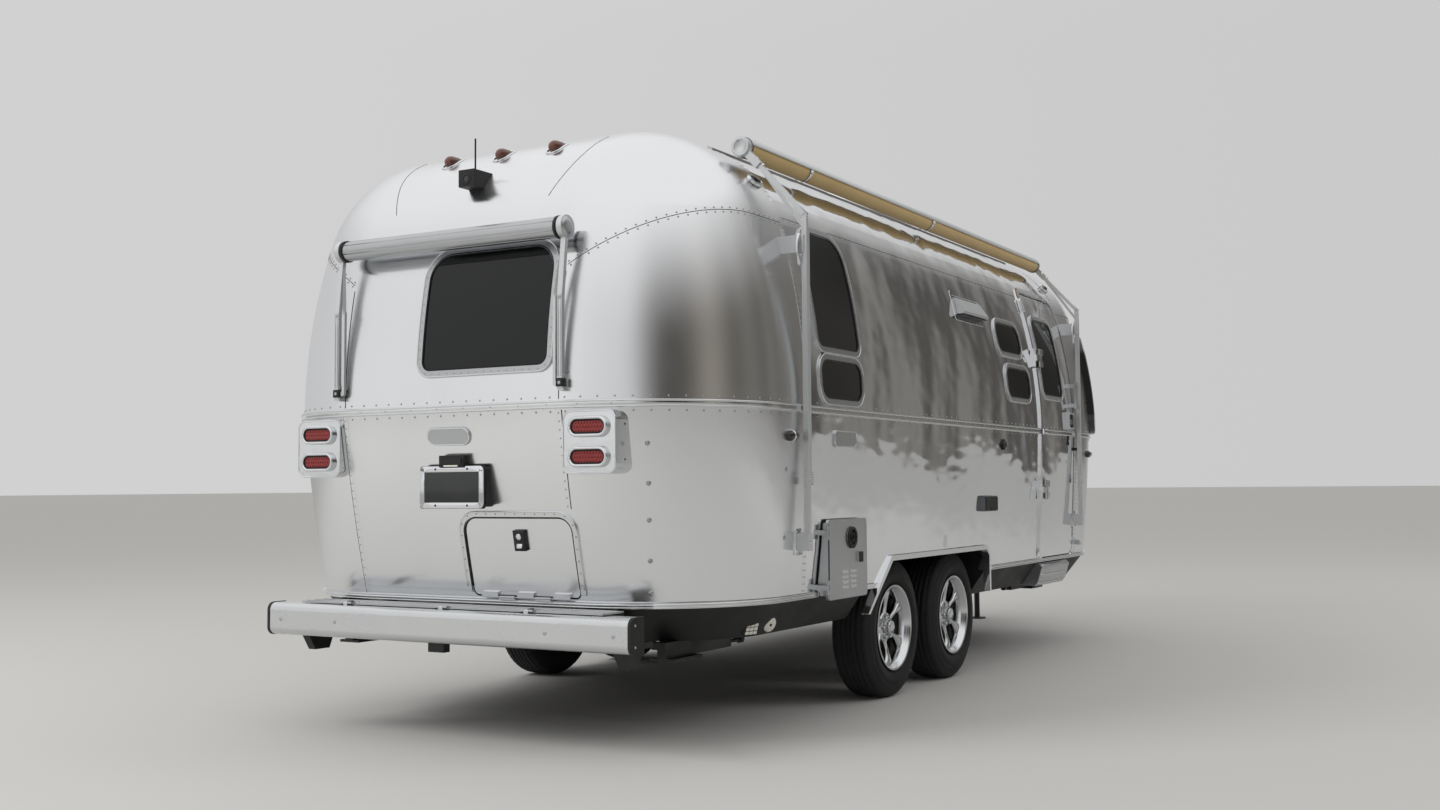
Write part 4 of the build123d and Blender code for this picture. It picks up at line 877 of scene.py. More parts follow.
def buildRails():
    look = railLook
    section = halfRound(*look["bead"])
    beadProud = look["proud"] - look["sunk"]
    beltLines = (shell["belt"] - look["beltRise"], shell["belt"] + look["beltRise"])
    rivetLines = (shell["belt"] - look["rivetRise"], shell["belt"] + look["rivetRise"])
    beads, screws = [], []
    for heights, cuts in ((beltLines, look["beltCuts"]), (look["sillHeights"], look["sillCuts"])):
        for z in heights:
            beads += [swept(*run, section) for run in brokenRing(z, beadProud, cuts)]
    for run in brokenRing(shell["belt"], look["proud"], look["beltCuts"]):
        screws.append(domes(*spaced(*run, look["screwPitch"], inset=look["screwInset"]), *look["screw"]))
    for foot, top in look["stripRuns"]:
        strip = onSide(station(look["strip"]), np.linspace(foot, top, 20), -1, look["proud"])
        screws.append(domes(*spaced(*strip, look["stripPitch"]), *look["screw"]))
    finishPiece("railBeads", beads, "brightTrim")
    for z in rivetLines:
        for run in brokenRing(z, 0.0, look["beltCuts"]):
            rivetRow(run, look["rivetPitch"])
    finishPiece("railScrews", screws, "rivet")
    x = np.linspace(station(look["doorSpan"][0]), station(look["doorSpan"][1]), 12)
    doorBeads = [swept(*onSide(x, z, -1, beadProud), section) for z in beltLines]
    doorRivets = []
    for z in rivetLines:
        places = spaced(*onSide(x, z, -1), look["rivetPitch"], inset=look["doorInset"])
        doorRivets.append(domes(*places, *look["rivet"]))
    finishPiece("doorRailBeads", doorBeads, "brightTrim", "entry_door")
    finishPiece("doorRivets", doorRivets, "rivet", "entry_door")


buildRails()
print("rails laid")

# windows: a rubber gasket inside each frame, a bead round its edge and rivets between
windowLook = {
    "gasketGrow": 0.003, "gasket": (0.01, 0.01, 7, -0.006),
    "beadGrow": 0.032, "bead": (0.006, 0.0022), "proud": 0.008,
    "rivetGrow": 0.021, "rivet": (0.0036, 0.0016), "rivetPitch": 0.042, "step": 0.06,
}
windowRows = [
    # station or y of the middle, z0, z1, width, top radius, low radius, wall
    (1.35, 1.77, 2.32, 0.44, 0.12, 0.04, "side"),
    (1.352, 1.526, 1.7, 0.432, 0.06, 0.06, "side"),
    (3.96, 1.95, 2.125, 0.42, 0.066, 0.056, "side"),
    (4.03, 1.666, 1.843, 0.42, 0.06, 0.06, "side"),
    (-0.2, 1.64, 2.16, 0.68, 0.11, 0.04, "tail"),
    (0.0, 1.56, 2.13, 1.000, 0.09, 0.06, "nose"),
]
doorWindow = (4.751, 1.715, 2.218, 0.4, 0.06, 0.04, "side")


def windowLine(row, grow, proud, side):
    # the glass outline grown by a distance and laid on the wall
    middle, z0, z1, width, top, low, wall = row
    outline = roundedRect(width + 2 * grow, z1 - z0 + 2 * grow, top + grow, low + grow)
    outline = filled(outline, windowLook["step"])
    u, v = outline[:, 0], outline[:, 1] + (z0 + z1) / 2
    if wall == "side":
        return onSide(station(middle) + u * -side, v, side, proud)
    end = -1 if wall == "tail" else 1
    return onEnd(middle + u * end, v, end, proud)


def windowTrim(row, side=-1):
    look = windowLook
    gasket = swept(*windowLine(row, look["gasketGrow"], 0.0, side), halfRound(*look["gasket"]), True)
    bead = swept(*windowLine(row, look["beadGrow"], look["proud"], side), halfRound(*look["bead"]), True)
    line = windowLine(row, look["rivetGrow"], look["proud"], side)
    heads = domes(*spaced(*line, look["rivetPitch"], True), *look["rivet"])
    return gasket, bead, heads


def buildWindows():
    gaskets, beads = [], []
    for row in windowRows:
        for side in ((-1, 1) if row[-1] == "side" else (-1,)):
            for group, part in zip((gaskets, beads, rivetSpots), windowTrim(row, side)):
                group.append(part)
    finishPiece("windowGaskets", gaskets, "rubber")
    finishPiece("windowBeads", beads, "brightTrim")
    gasket, bead, heads = windowTrim(doorWindow)
    finishPiece("doorGlassGasket", gasket, "rubber", "entry_door")
    finishPiece("doorFrameTrim", [bead, heads], "brightTrim", "entry_door")


buildWindows()
print("windows trimmed")

# entry door: the cheeks and pins of its hinges, its rubber edges and the cap on the awning rail beside it
doorLook = {
    "rear": 4.454, "front": 5.21, "sealInset": {"rear": 0.012, "front": -0.014},
    "hinges": (1.077, 1.948), "standOff": 0.037,  # heights, and from the skin to the hinge line
    "cheek": (0.016, 0.03, 0.06), "cheekSunk": 0.0005, "cheekChamfer": 0.003,  # foot, top, half height
    "wallCheek": -0.084, "doorCheek": 0.062,  # their outer edges from the hinge line
    "pin": (0.0055, 0.064),
    "sealRun": (0.74, 2.2), "seal": (0.004, 0.0012, -0.003),
    "capStation": 4.425, "capRun": (2.255, 2.346), "capProud": 0.012, "cap": (0.034, 0.006, -0.004, 0.002),
}


def hingeLineY(z):
    # the hinge line stands off the skin at both hinges and is straight between
    low, high = doorLook["hinges"]
    stand = [shell["halfWidth"] - float(insets(h)[1]) + doorLook["standOff"] for h in (low, high)]
    return -(stand[0] + (stand[1] - stand[0]) * (z - low) / (high - low))


def hingeCheek(z, edge, direction):
    # a plate from the skin out to the hinge line, wider at the top; direction is 1 towards the front
    narrow, wide, half = doorLook["cheek"]
    skinY = -float(shell["halfWidth"] - insets(z)[1])
    depth = skinY - hingeLineY(z) - 2 * doorLook["cheekSunk"]
    outline = np.array([(0, -half), (narrow, -half), (wide, half), (0, half)])
    outline[:, 0] *= direction
    if direction < 0:
        outline = outline[::-1]
    centre = (station(doorLook["rear"] + edge), skinY - doorLook["cheekSunk"], z)
    return plate(centre, toFront, toSky, outline, depth, doorLook["cheekChamfer"])


def buildDoor():
    look = doorLook
    moving = [hingeCheek(z, look["doorCheek"], -1) for z in look["hinges"]]
    still = [hingeCheek(z, look["wallCheek"], 1) for z in look["hinges"]]
    x = station(look["rear"])
    pins = [spun(pin(*look["pin"]), (x, hingeLineY(z), z), toSky, 16) for z in look["hinges"]]
    finishPiece("doorHingeCheeks", moving, "brightTrim", "entry_door", False)
    finishPiece("wallHingeCheeks", still, "brightTrim", smooth=False)
    finishPiece("hingePins", pins, "blackSteel")
    seal = []
    for edge, inset in look["sealInset"].items():
        line = onSide(station(look[edge] + inset), np.linspace(*look["sealRun"], 30), -1)
        seal.append(swept(*line, flatStrip(*look["seal"])))
    finishPiece("doorEdgeSeal", seal, "rubber", "entry_door")
    cap = onSide(station(look["capStation"]), np.linspace(*look["capRun"], 6), -1, look["capProud"])
    finishPiece("gutterCap", swept(*cap, flatStrip(*look["cap"])), "chrome")


# lock: a bright rim round the recess, the lever, the deadbolt's oval with its barrel, and the door stop
lockLook = {
    "place": (5.085, 1.552),
    "rim": (0.106, 0.104, 0.012), "rimY": -1.311, "rimBead": (0.01, 0.003, 7, -0.0005),
    "recess": (0.088, 0.09, 0.006), "recessY": -1.2975, "recessDepth": 0.002,
    "lever": (0.066, 0.026, 0.008), "leverY": -1.307, "leverDrop": 0.007, "leverDepth": 0.0035,
    "bolt": (5.06, 1.414), "oval": (0.03, 0.064, 0.0149), "ovalSunk": 0.002, "ovalDepth": 0.008,
    "barrel": (0.009, 0.0, 0.003, 0.003, 0.004), "barrelProud": 0.006,
    "stop": (5.232, 1.358), "stopSize": ((-0.012, -0.022, -0.01), (0.012, 0.004, 0.01)), "stopChamfer": 0.004,
}


def buildLock():
    look = lockLook
    x, z = station(look["place"][0]), look["place"][1]
    path = laid(outlineOf(look["rim"], 0.03), (x, look["rimY"], z), toFront, toSky)
    rim = swept(path, toKerb, halfRound(*look["rimBead"]), True)
    finishPiece("lockRim", rim, "chrome", "entry_door")
    recess = kerbPlate((x, look["recessY"], z), look["recess"], look["recessDepth"])
    lever = kerbPlate((x, look["leverY"], z - look["leverDrop"]), look["lever"], look["leverDepth"])
    bolt = kerbSpot(*look["bolt"])
    oval = kerbPlate(bolt + [0, look["ovalSunk"], 0], look["oval"], look["ovalDepth"])
    finishPiece("lockRecess", [recess, oval], "blackPlastic", "entry_door", False)
    barrel = spun(button(*look["barrel"]), bolt - [0, look["barrelProud"], 0], toKerb, 20)
    finishPiece("lockLever", [lever, barrel], "chrome", "entry_door", False)
    spot = kerbSpot(*look["stop"])
    low, high = look["stopSize"]
    stop = brick(spot + low, spot + high, look["stopChamfer"])
    finishPiece("doorStop", stop, "blackPlastic", smooth=False)


# the courtesy lamp by the door: a chrome ring and a clear dome on its block
courtesyLook = {
    "station": 5.31, "y": -1.2885, "z": 0.7, "ring": (0.019, -0.004, 0.001, 0.015, 0.004),
    "dome": [(0, 0), (0.014, 0), (0.011, 0.006), (0, 0.009)], "domeProud": 0.003,
}


def buildCourtesyLamp():
    middle = np.array([station(courtesyLook["station"]), courtesyLook["y"], courtesyLook["z"]])
    ring = spun(button(*courtesyLook["ring"]), middle, toKerb, 24)
    dome = spun(courtesyLook["dome"], middle - [0, courtesyLook["domeProud"], 0], toKerb, 24)
    finishPiece("courtesyLampRing", ring, "chrome")
    finishPiece("courtesyLampLens", dome, "clearLens")


buildDoor()
buildLock()
buildCourtesyLamp()
print("door fitted")

# rear hatch: rivets and a bead on its ring, a rubber line round the leaf, and the latch with its key and grip
hatchLook = {
    "y0": -0.608, "y1": -0.034, "foot": 0.634, "height": 0.352, "radius": 0.062, "lean": 0.985,
    "openBelow": 0.03, "rivetGrow": 0.0215, "rivetProud": 0.008,
    "rivet": (0.004, 0.0018), "rivetPitch": 0.052, "rivetInset": 0.02,
    "beadGrow": 0.0305, "beadProud": 0.0078, "bead": (0.006, 0.0022),
    "sealGrow": 0.0035, "seal": (0.0064, 0.0035, -0.012),
    "latchY": -0.333, "latchRun": (0.843, 0.931), "latchProud": 0.012, "latch": (0.062, 0.004, -0.01, 0.002),
    "keyZ": 0.905, "gripZ": 0.868, "keyProud": 0.0155, "key": (0.014, 0.0, 0.003, 0.009, 0.004),
    "grip": (0.03, 0.028, 0.006), "gripDepth": 0.003, "gripUp": (0.2, 0, 1),
}


def hatchLine(grow, proud):
    # up one side, over the top and down the other on the tail's skin
    look = hatchLook
    width = look["y1"] - look["y0"] + 2 * grow
    outline = outlineOf((width, 2 * (look["height"] + grow), look["radius"] + grow), 0.03)
    outline = outline[outline[:, 1] > look["openBelow"]]
    start = int(np.argmin(outline[:, 1] - (outline[:, 0] > 0)))
    outline = np.roll(outline, -start, 0)
    z = look["foot"] + outline[:, 1] * look["lean"]
    return onEnd((look["y0"] + look["y1"]) / 2 - outline[:, 0], z, -1, proud)


def buildHatch():
    look = hatchLook
    ring = hatchLine(look["rivetGrow"], look["rivetProud"])
    rivetSpots.append(domes(*spaced(*ring, look["rivetPitch"], inset=look["rivetInset"]), *look["rivet"]))
    bead = swept(*hatchLine(look["beadGrow"], look["beadProud"]), halfRound(*look["bead"]))
    finishPiece("hatchBead", bead, "brightTrim")
    seal = swept(*hatchLine(look["sealGrow"], 0.0), flatStrip(*look["seal"]))
    finishPiece("hatchSeal", seal, "rubber", smooth=False)
    line = onEnd(look["latchY"], np.linspace(*look["latchRun"], 8), -1, look["latchProud"])
    finishPiece("hatchLatch", swept(*line, flatStrip(*look["latch"])), "blackPlastic", "rear_hatch")
    key = spun(button(*look["key"]), *onEnd(look["latchY"], look["keyZ"], -1, look["keyProud"]), 24)
    gripSpot = onEnd(look["latchY"], look["gripZ"], -1, look["keyProud"])[0]
    grip = plate(gripSpot, toKerb, look["gripUp"], roundedRect(*look["grip"]), look["gripDepth"])
    finishPiece("hatchKey", [key, grip], "chrome", "rear_hatch")


buildHatch()
print("hatch fitted")

# tail lamps: chrome bezels round the lenses, a dark rim, rows of diodes, and screws on the housing's side
tailLook = {
    "y": 0.765, "heights": (1.366, 1.24),
    "bezel": (0.184, 0.073), "bezelFace": -0.018, "bezelBead": (0.014, 0.006),
    "rim": (0.17, 0.06), "rimFace": -0.0165, "rimBead": (0.013, 0.003),
    "diode": (0.0066, 0.0036), "diodeFace": -0.0145,
    "diodeSpan": 0.066, "diodeRise": 0.017, "diodeShift": 0.0035,
    "housing": (0.262, 0.259, 0.038), "housingFace": -0.004, "housingZ": 1.3015,
    "housingBead": (0.007, 0.003),
    "screw": (0.005, 0.002), "screwStation": 0.062, "screwReach": 0.135, "screwHeights": (1.375, 1.228),
}


def slotBead(size, bead, face, y, z):
    # a bead round a slot with half-round ends, facing the rear
    width, height = size
    outline = filled(roundedRect(width, height, height / 2 - 1e-4, None, 10), 0.03)
    return swept(laid(outline, (station(face), y, z), toKerb, toSky), toRear, halfRound(*bead), True)


def buildTailLamps():
    look = tailLook
    bezels, diodes, rims, screws = [], [], [], []
    rise, span, shift = look["diodeRise"], look["diodeSpan"], look["diodeShift"]
    u, v = np.meshgrid(np.linspace(-span, span, 10), (-rise, 0.0, rise))
    u = u + np.array([-shift, shift, -shift])[:, None]  # the middle row sits between the others
    for side in (-1, 1):
        y = side * look["y"]
        for z in look["heights"]:
            bezels.append(slotBead(look["bezel"], look["bezelBead"], look["bezelFace"], y, z))
            rims.append(slotBead(look["rim"], look["rimBead"], look["rimFace"], y, z))
            spots = np.stack([np.full(u.size, station(look["diodeFace"])), y + u.ravel(), z + v.ravel()], 1)
            diodes.append(domes(spots, toRear, *look["diode"], 8))
        centre = (station(look["housingFace"]), y, look["housingZ"])
        line = laid(outlineOf(look["housing"], 0.03), centre, toKerb, toSky)
        bezels.append(swept(line, toRear, halfRound(*look["housingBead"]), True))
        for z in look["screwHeights"]:
            spot = (station(look["screwStation"]), side * (look["y"] + look["screwReach"]), z)
            screws.append(domes([spot], (0, side, 0), *look["screw"], 10))
    finishPiece("lampBezels", bezels, "chrome")
    finishPiece("lampDiodes", diodes, "redLens")
    finishPiece("lampRims", rims, "rubber")
    finishPiece("lampScrews", screws, "blackSteel")


# markers: dark bullets in bright rings low on the corners, smoked domes in oval rings on the shoulders, and
# ribs over the amber lamps on the roof
markerLook = {
    "bullets": ((0.815, 1.336), (5.557, 1.329)),
    "bullet": (0.0264, 0.062), "bulletPower": 0.75, "bulletSunk": 0.004,
    "ring": [(0.024, -0.012), (0.0278, -0.01), (0.0286, -0.006), (0.0278, -0.002), (0.024, 0.0)],
    "domes": (0.907, 5.293), "domeZ": 2.52, "domeStand": 0.013, "dome": (0.045, 0.023, 0.016),
    "oval": (0.052, 0.029), "ovalSunk": 0.004, "ovalBead": (0.014, 0.01, 9, -0.008),
    "roofInset": 0.407, "roofY": (-0.307, 0.0, 0.307), "ribRadius": 0.0292, "ribSpan": 0.022,
    "rib": (0.004, 0.0012, 5), "foot": (0.124, 0.072, 0.0355), "footBead": (0.01, 0.007, 7, -0.003),
}


def bulletMarkers(dark, bright):
    # radius = R * cos(t) ** power and length = L * sin(t), on the low corner at the wall's widest
    look = markerLook
    radius, length = look["bullet"]
    t = np.linspace(0, math.pi / 2, 9)
    nose = np.stack([radius * np.cos(t) ** look["bulletPower"], length * np.sin(t)], 1)
    profile = np.concatenate([[(0.0, -look["bulletSunk"]), (radius, -look["bulletSunk"])], nose])
    for s, z in look["bullets"]:
        past = max(s - (shell["length"] - shell["capDepth"]), 0)
        y = cornerY + math.sqrt(shell["capDepth"] ** 2 - past ** 2)
        for side in (-1, 1):
            dark.append(spun(profile, (station(s), side * y, z), toFront, 24))
            bright.append(spun(look["ring"], (station(s), side * y, z), toFront, 24, True))


def domeMarkers(dark, bright):
    # half an ellipsoid that looks out along the shoulder's normal: centre + cos(t) * oval + sin(t) * out
    look = markerLook
    width, height, depth = look["dome"]
    ovalWidth, ovalHeight = look["oval"]
    slopeAngle = math.asin((look["domeZ"] - shoulderCentre) / shoulderRadius)
    t = np.linspace(0, math.pi / 2, 7)[:, None, None]
    steps = 28
    angle = np.arange(steps) * 2 * math.pi / steps
    for s in look["domes"]:
        for side in (-1, 1):
            out = np.array([0, side * math.cos(slopeAngle), math.sin(slopeAngle)])
            centre = np.array([station(s), side * cornerY, shoulderCentre])
            centre = centre + out * (shoulderRadius + look["domeStand"])
            across = np.cos(angle)[:, None] * np.array(toFront)
            rise = np.sin(angle)[:, None] * np.cross(out, toFront)
            oval = centre - look["ovalSunk"] * out + ovalWidth * across + ovalHeight * rise
            bright.append(swept(oval, out, halfRound(*look["ovalBead"]), True))
            points = centre + (np.cos(t) + 1e-4) * (width * across + height * rise) + np.sin(t) * depth * out
            last = (len(t) - 1) * steps
            faces = gridFaces(len(t), steps, False, True).tolist() + [list(range(last, last + steps))]
            if side < 0:
                faces = [face[::-1] for face in faces]
            dark.append((points.reshape(-1, 3), faces))


def roofMarkers(bright):
    # five ribs over each half-round lens, and a bead round its foot
    look = markerLook
    crown = math.sqrt(shoulderRadius ** 2 - (shell["capDepth"] - look["roofInset"]) ** 2)
    z = shoulderCentre + crown
    angle = np.linspace(0, math.pi, 14)
    arc = np.stack([0 * angle, np.cos(angle), np.sin(angle)], 1)
    foot = outlineOf(look["foot"], 0.02)
    ribs = []
    for x, end in ((station(look["roofInset"]), -1), (noseX - look["roofInset"], 1)):
        for y in look["roofY"]:
            for shift in np.linspace(-look["ribSpan"], look["ribSpan"], 5):
                ribs.append(swept((x + shift, y, z) + look["ribRadius"] * arc, arc, halfRound(*look["rib"])))
            line = domePoint(x + foot[:, 0], y + foot[:, 1], end)
            bright.append(swept(*line, halfRound(*look["footBead"]), True))
    return ribs


def buildMarkers():
    dark, bright = [], []
    bulletMarkers(dark, bright)
    domeMarkers(dark, bright)
    ribs = roofMarkers(bright)
    finishPiece("markerDomes", dark, "darkLens")
    finishPiece("roofMarkerRibs", ribs, "amberLens")
    finishPiece("markerBases", bright, "chrome")


buildTailLamps()
buildMarkers()
print("lamps fitted")

# blank plate in its bright frame, its screws, its lamp, and the blank badges' rims
plateLook = {
    "face": 0.0075, "y": -0.022, "z": 1.118,
    "frameLine": (0.334, 0.16, 0.01), "frame": (0.026, 0.0035, -0.002, 0.001),
    "blank": (0.312, 0.138, 0.006), "blankDepth": (0.0015, 0.0005),
    "screws": (0.09, 0.08), "screwSunk": 0.003, "screw": (0.0055, 0.003),
    "lampY": -0.027,
    "lampHood": (0.118, 0.036, 0.01), "lampHoodPlace": (0.005, 1.232), "lampHoodDepth": (0.012, 0.003),
    "lampLens": (0.08, 0.008, 0.003), "lampLensPlace": (0.001, 1.2125), "lampLensDepth": (0.008, 0.001),
    "sideBadge": (0.242, 0.072, 0.023), "sideBadgePlace": (1.38, 1.336),
    "tailBadge": (0.232, 0.072, 0.0355), "tailBadgeZ": 1.342,
    "badgeProud": 0.008, "badgeBead": (0.006, 0.002),
}


def buildPlates():
    look = plateLook
    face = station(look["face"])
    centre = (face, look["y"], look["z"])
    path = laid(outlineOf(look["frameLine"], 0.04), centre, toKerb, toSky)
    finishPiece("plateFrame", swept(path, toRear, flatStrip(*look["frame"]), True), "chrome")
    blank = tailPlate(centre, look["blank"], *look["blankDepth"])
    finishPiece("blankPlate", blank, "smoked", smooth=False)
    u, v = look["screws"]
    offsets = np.array([(0, -u, -v), (0, -u, v), (0, u, -v), (0, u, v)])
    spots = offsets + centre - [look["screwSunk"], 0, 0]
    finishPiece("plateScrews", domes(spots, toRear, *look["screw"], 10), "blackPlastic")
    for part, key in (("Hood", "blackPlastic"), ("Lens", "clearLens")):
        s, z = look["lamp" + part + "Place"]
        piece = tailPlate((station(s), look["lampY"], z), look["lamp" + part], *look["lamp" + part + "Depth"])
        finishPiece("plateLamp" + part, piece, key, smooth=False)
    side, tail = outlineOf(look["sideBadge"], 0.03), outlineOf(look["tailBadge"], 0.03)
    s, z = look["sideBadgePlace"]
    sideLine = onSide(station(s) + side[:, 0], z + side[:, 1], -1, look["badgeProud"])
    tailLine = onEnd(-tail[:, 0], look["tailBadgeZ"] + tail[:, 1], -1, look["badgeProud"])
    badges = [swept(*line, halfRound(*look["badgeBead"]), True) for line in (sideLine, tailLine)]
    finishPiece("badgeRims", badges, "chrome")


buildPlates()
print("plates fitted")

# patio awning: cloth rolled on its tube under a half cover, with end discs and two clamps
awningLook = {
    "y": -1.003, "z": 2.688, "s0": 0.91, "s1": 5.23, "headRoom": 0.004,
    "clothWidth": 4.3, "clothLength": 2.44, "core": 0.04, "clothStep": 0.0007, "clothStart": 1.2,
    "tube": 0.039, "cover": 0.0505, "coverSheet": 0.0015, "coverFrom": 172, "coverTo": -30,
    "clamps": (1.53, 3.18), "clampKnob": (0.01, 0.012), "clampDrop": 0.008,
    "clampBand": [(0.0515, -0.012), (0.0519, -0.012), (0.0519, 0.012), (0.0515, 0.012)],
    "headFace": 0.026, "rubberIn": 0.031,
    "disc": [(0, 0), (0.046, 0), (0.046, 0.003), (0.034, 0.0045), (0.033, 0.002), (0, 0.002)],
    "rubber": [(0.049, 0.0), (0.0505, 0.001), (0.0505, 0.005), (0.049, 0.006)],
}


def rolledCloth():
    # a spiral: radius = core + step * turns, wound until its length is the cloth's, one sheet wide
    look = awningLook
    core, step = look["core"], look["clothStep"]
    turns = (math.sqrt(core ** 2 + step * look["clothLength"] / math.pi) - core) / step
    angle = np.linspace(0, turns * 2 * math.pi, int(turns * 40))
    radius = core + step * angle / (2 * math.pi)
    across = station((look["s0"] + look["s1"]) / 2) + np.linspace(-0.5, 0.5, 13) * look["clothWidth"]
    y = look["y"] + radius * np.cos(angle - look["clothStart"])
    z = look["z"] + radius * np.sin(angle - look["clothStart"])
    points = np.stack(np.broadcast_arrays(across[None, :], y[:, None], z[:, None]), -1)
    surface = (points, gridFaces(len(angle), len(across)))
    cloth = finishPiece("patioAwningCloth", surface, "awningCloth", replaced=("awning_roller",))


def awningCover(x0, x1):
    # an arc from over the outer side to behind the roll, one sheet thick, drawn from end to end
    look = awningLook
    angle = np.radians(np.linspace(look["coverFrom"], look["coverTo"], 30))
    arc = np.stack([np.cos(angle), np.sin(angle)], 1)
    section = np.concatenate([(look["cover"] + look["coverSheet"]) * arc, look["cover"] * arc[::-1]])
    count = len(section)
    rows = [laid(section, (x, look["y"], look["z"]), toStreet, toSky) for x in (x0, x1)]
    faces = gridFaces(2, count, False, True).tolist()
    return np.concatenate(rows), faces + [list(range(count))[::-1], list(range(count, 2 * count))]


# the arms: a low run up the wall to the bend, then straight to the roll's middle; and what is fixed to them
armLook = {
    "y": -1.318, "bend": 2.352, "kneeDrop": 0.008, "foot": 0.84, "topRun": 0.33,
    "face": 0.01, "ridge": (0.005, 0.0022, 5), "ridgeShift": 0.008,
    "kneeKnob": (0.01, 0.005), "kneeKnobDrop": 0.02,
    "headKnob": (0.012, 0.012), "headKnobsAt": (0.14, 0.095), "headKnobOut": 0.009,
    "slideKnob": (0.009, 0.0022), "slideKnobs": (1.148, 0.862), "slideFace": 0.0125,
    "grip": ((0.01, -1.3305, 1.118), (0.037, -1.306, 1.15)), "gripChamfer": 0.003,
    "catch": (0.022, 0.07), "catchPlace": (-0.01, 0.022, 2.185), "catchBar": 0.009,
    "footZ": 0.862, "footPlate": (0.07, 0.12, 0.012), "footDepth": (0.01, 0.002), "footSunk": 0.004,
    "footScrews": (0.024, 0.045), "footScrew": (0.006, 0.003), "footScrewProud": 0.006,
}


def armFittings(x, clamps, knobs, ridges, dark):
    # ridges along both runs, knobs at the knee, the head and the slides, the grip, the catch and the foot
    look = armLook
    centre = np.array([x, awningLook["y"], awningLook["z"]])
    knee = np.array([x, look["y"], look["bend"] - look["kneeDrop"]])
    direction = (knee - centre) / np.linalg.norm(knee - centre)
    outward = np.cross(direction, toFront)
    faceY = look["y"] - look["face"]
    for shift in (-look["ridgeShift"], look["ridgeShift"]):
        low = np.linspace((x + shift, faceY, look["foot"]), (x + shift, faceY, look["bend"]), 12)
        ridges.append(swept(low, toKerb, halfRound(*look["ridge"])))
        start = knee + outward * look["face"] + [shift, 0, 0]
        top = np.linspace(start, start - direction * look["topRun"], 8)
        ridges.append(swept(top, outward, halfRound(*look["ridge"])))
    knobs.append(domes([(x, faceY, look["bend"] - look["kneeKnobDrop"])], toKerb, *look["kneeKnob"], 12))
    for along in look["headKnobsAt"]:
        spot = centre + direction * along + outward * look["headKnobOut"]
        knobs.append(domes([spot], outward, *look["headKnob"], 12))
    for z in look["slideKnobs"]:
        knobs.append(domes([(x, look["y"] - look["slideFace"], z)], toKerb, *look["slideKnob"], 10))
    low, high = look["grip"]
    dark.append(brick(np.array([x, 0, 0]) + low, np.array([x, 0, 0]) + high, look["gripChamfer"]))
    bow = np.radians(np.linspace(-90, 90, 16))  # the travel catch, a bright bow between the arm and the wall
    reach, rise = look["catch"]
    catchX, catchY, catchZ = look["catchPlace"]
    catch = np.stack([-reach * np.cos(bow), 0 * bow, rise * np.sin(bow)], 1)
    catch = catch + [x + catchX, look["y"] + catchY, catchZ]
    clamps.append(swept(catch, toKerb, roundBar(look["catchBar"])))
    foot = onSide(x, look["footZ"], -1)[0]
    clamps.append(kerbPlate(foot + [0, look["footSunk"], 0], look["footPlate"], *look["footDepth"]))
    u, v = look["footScrews"]
    spots = [foot + [across, -look["footScrewProud"], up] for across in (-u, u) for up in (-v, v)]
    knobs.append(domes(spots, toKerb, *look["footScrew"], 8))


def buildAwning():
    look = awningLook
    x0, x1 = station(look["s0"] + look["headRoom"]), station(look["s1"] - look["headRoom"])
    y, z = look["y"], look["z"]
    tube = [(0, 0), (look["tube"], 0), (look["tube"], x1 - x0), (0, x1 - x0)]
    finishPiece("patioAwningTube", spun(tube, (x0, y, z), toFront, 40), "satin")
    rolledCloth()
    finishPiece("patioAwningCover", awningCover(x0, x1), "paintedArm", replaced=("awning_roller",))
    clamps, discs, knobs, ridges, dark = [], [], [], [], []
    for s in look["clamps"]:
        clamps.append(spun(look["clampBand"], (station(s), y, z), toFront, 40, True))
        spot = (station(s), y - look["clampBand"][0][0], z - look["clampDrop"])
        clamps.append(domes([spot], toKerb, *look["clampKnob"], 12))
    for s, inward in ((look["s0"], 1), (look["s1"], -1)):
        face = station(s) - look["headFace"] * inward
        discs.append(spun(look["disc"], (face, y, z), (-inward, 0, 0), 40))
        behind = (face + look["rubberIn"] * inward, y, z)
        dark.append(spun(look["rubber"], behind, (inward, 0, 0), 40, True))
        armFittings(station(s), clamps, knobs, ridges, dark)
    finishPiece("awningFittings", clamps, "chrome")
    finishPiece("awningEndDiscs", discs, "paintedArm")
    finishPiece("awningKnobs", knobs, "chrome")
    finishPiece("awningArmRidges", ridges, "paintedArm")
    finishPiece("awningRubbers", dark, "blackPlastic")


# the short awning over the rear window: black rings by the heads, drawn lines on the roller, dark foot joints
rearAwningLook = {
    "station": 0.012, "z": 2.216, "armY": 0.634, "armFace": -0.03,
    "ring": [(0.0455, -0.015), (0.0505, -0.013), (0.0505, 0.0), (0.0455, 0.002)], "ringY": 0.615,
    "disc": (0.047, 0.0, 0.002, 0.022, 0.005), "discY": 0.647,
    "joint": (-0.034, -0.004), "jointHalf": 0.02, "jointRun": (1.536, 1.572), "jointChamfer": 0.004,
    "knob": (0.008, 0.004), "knobs": ((-0.034, 1.552), (-0.03, 1.915)),  # station, height
    "armRidge": (0.004, 0.002, 5), "armRidgeShift": 0.007, "armRun": (1.58, 1.92),
    "line": (0.005, 0.0016, 5), "lineAngles": (100, 150, 205, 250), "lineRadius": 0.045, "lineHalf": 0.61,
}


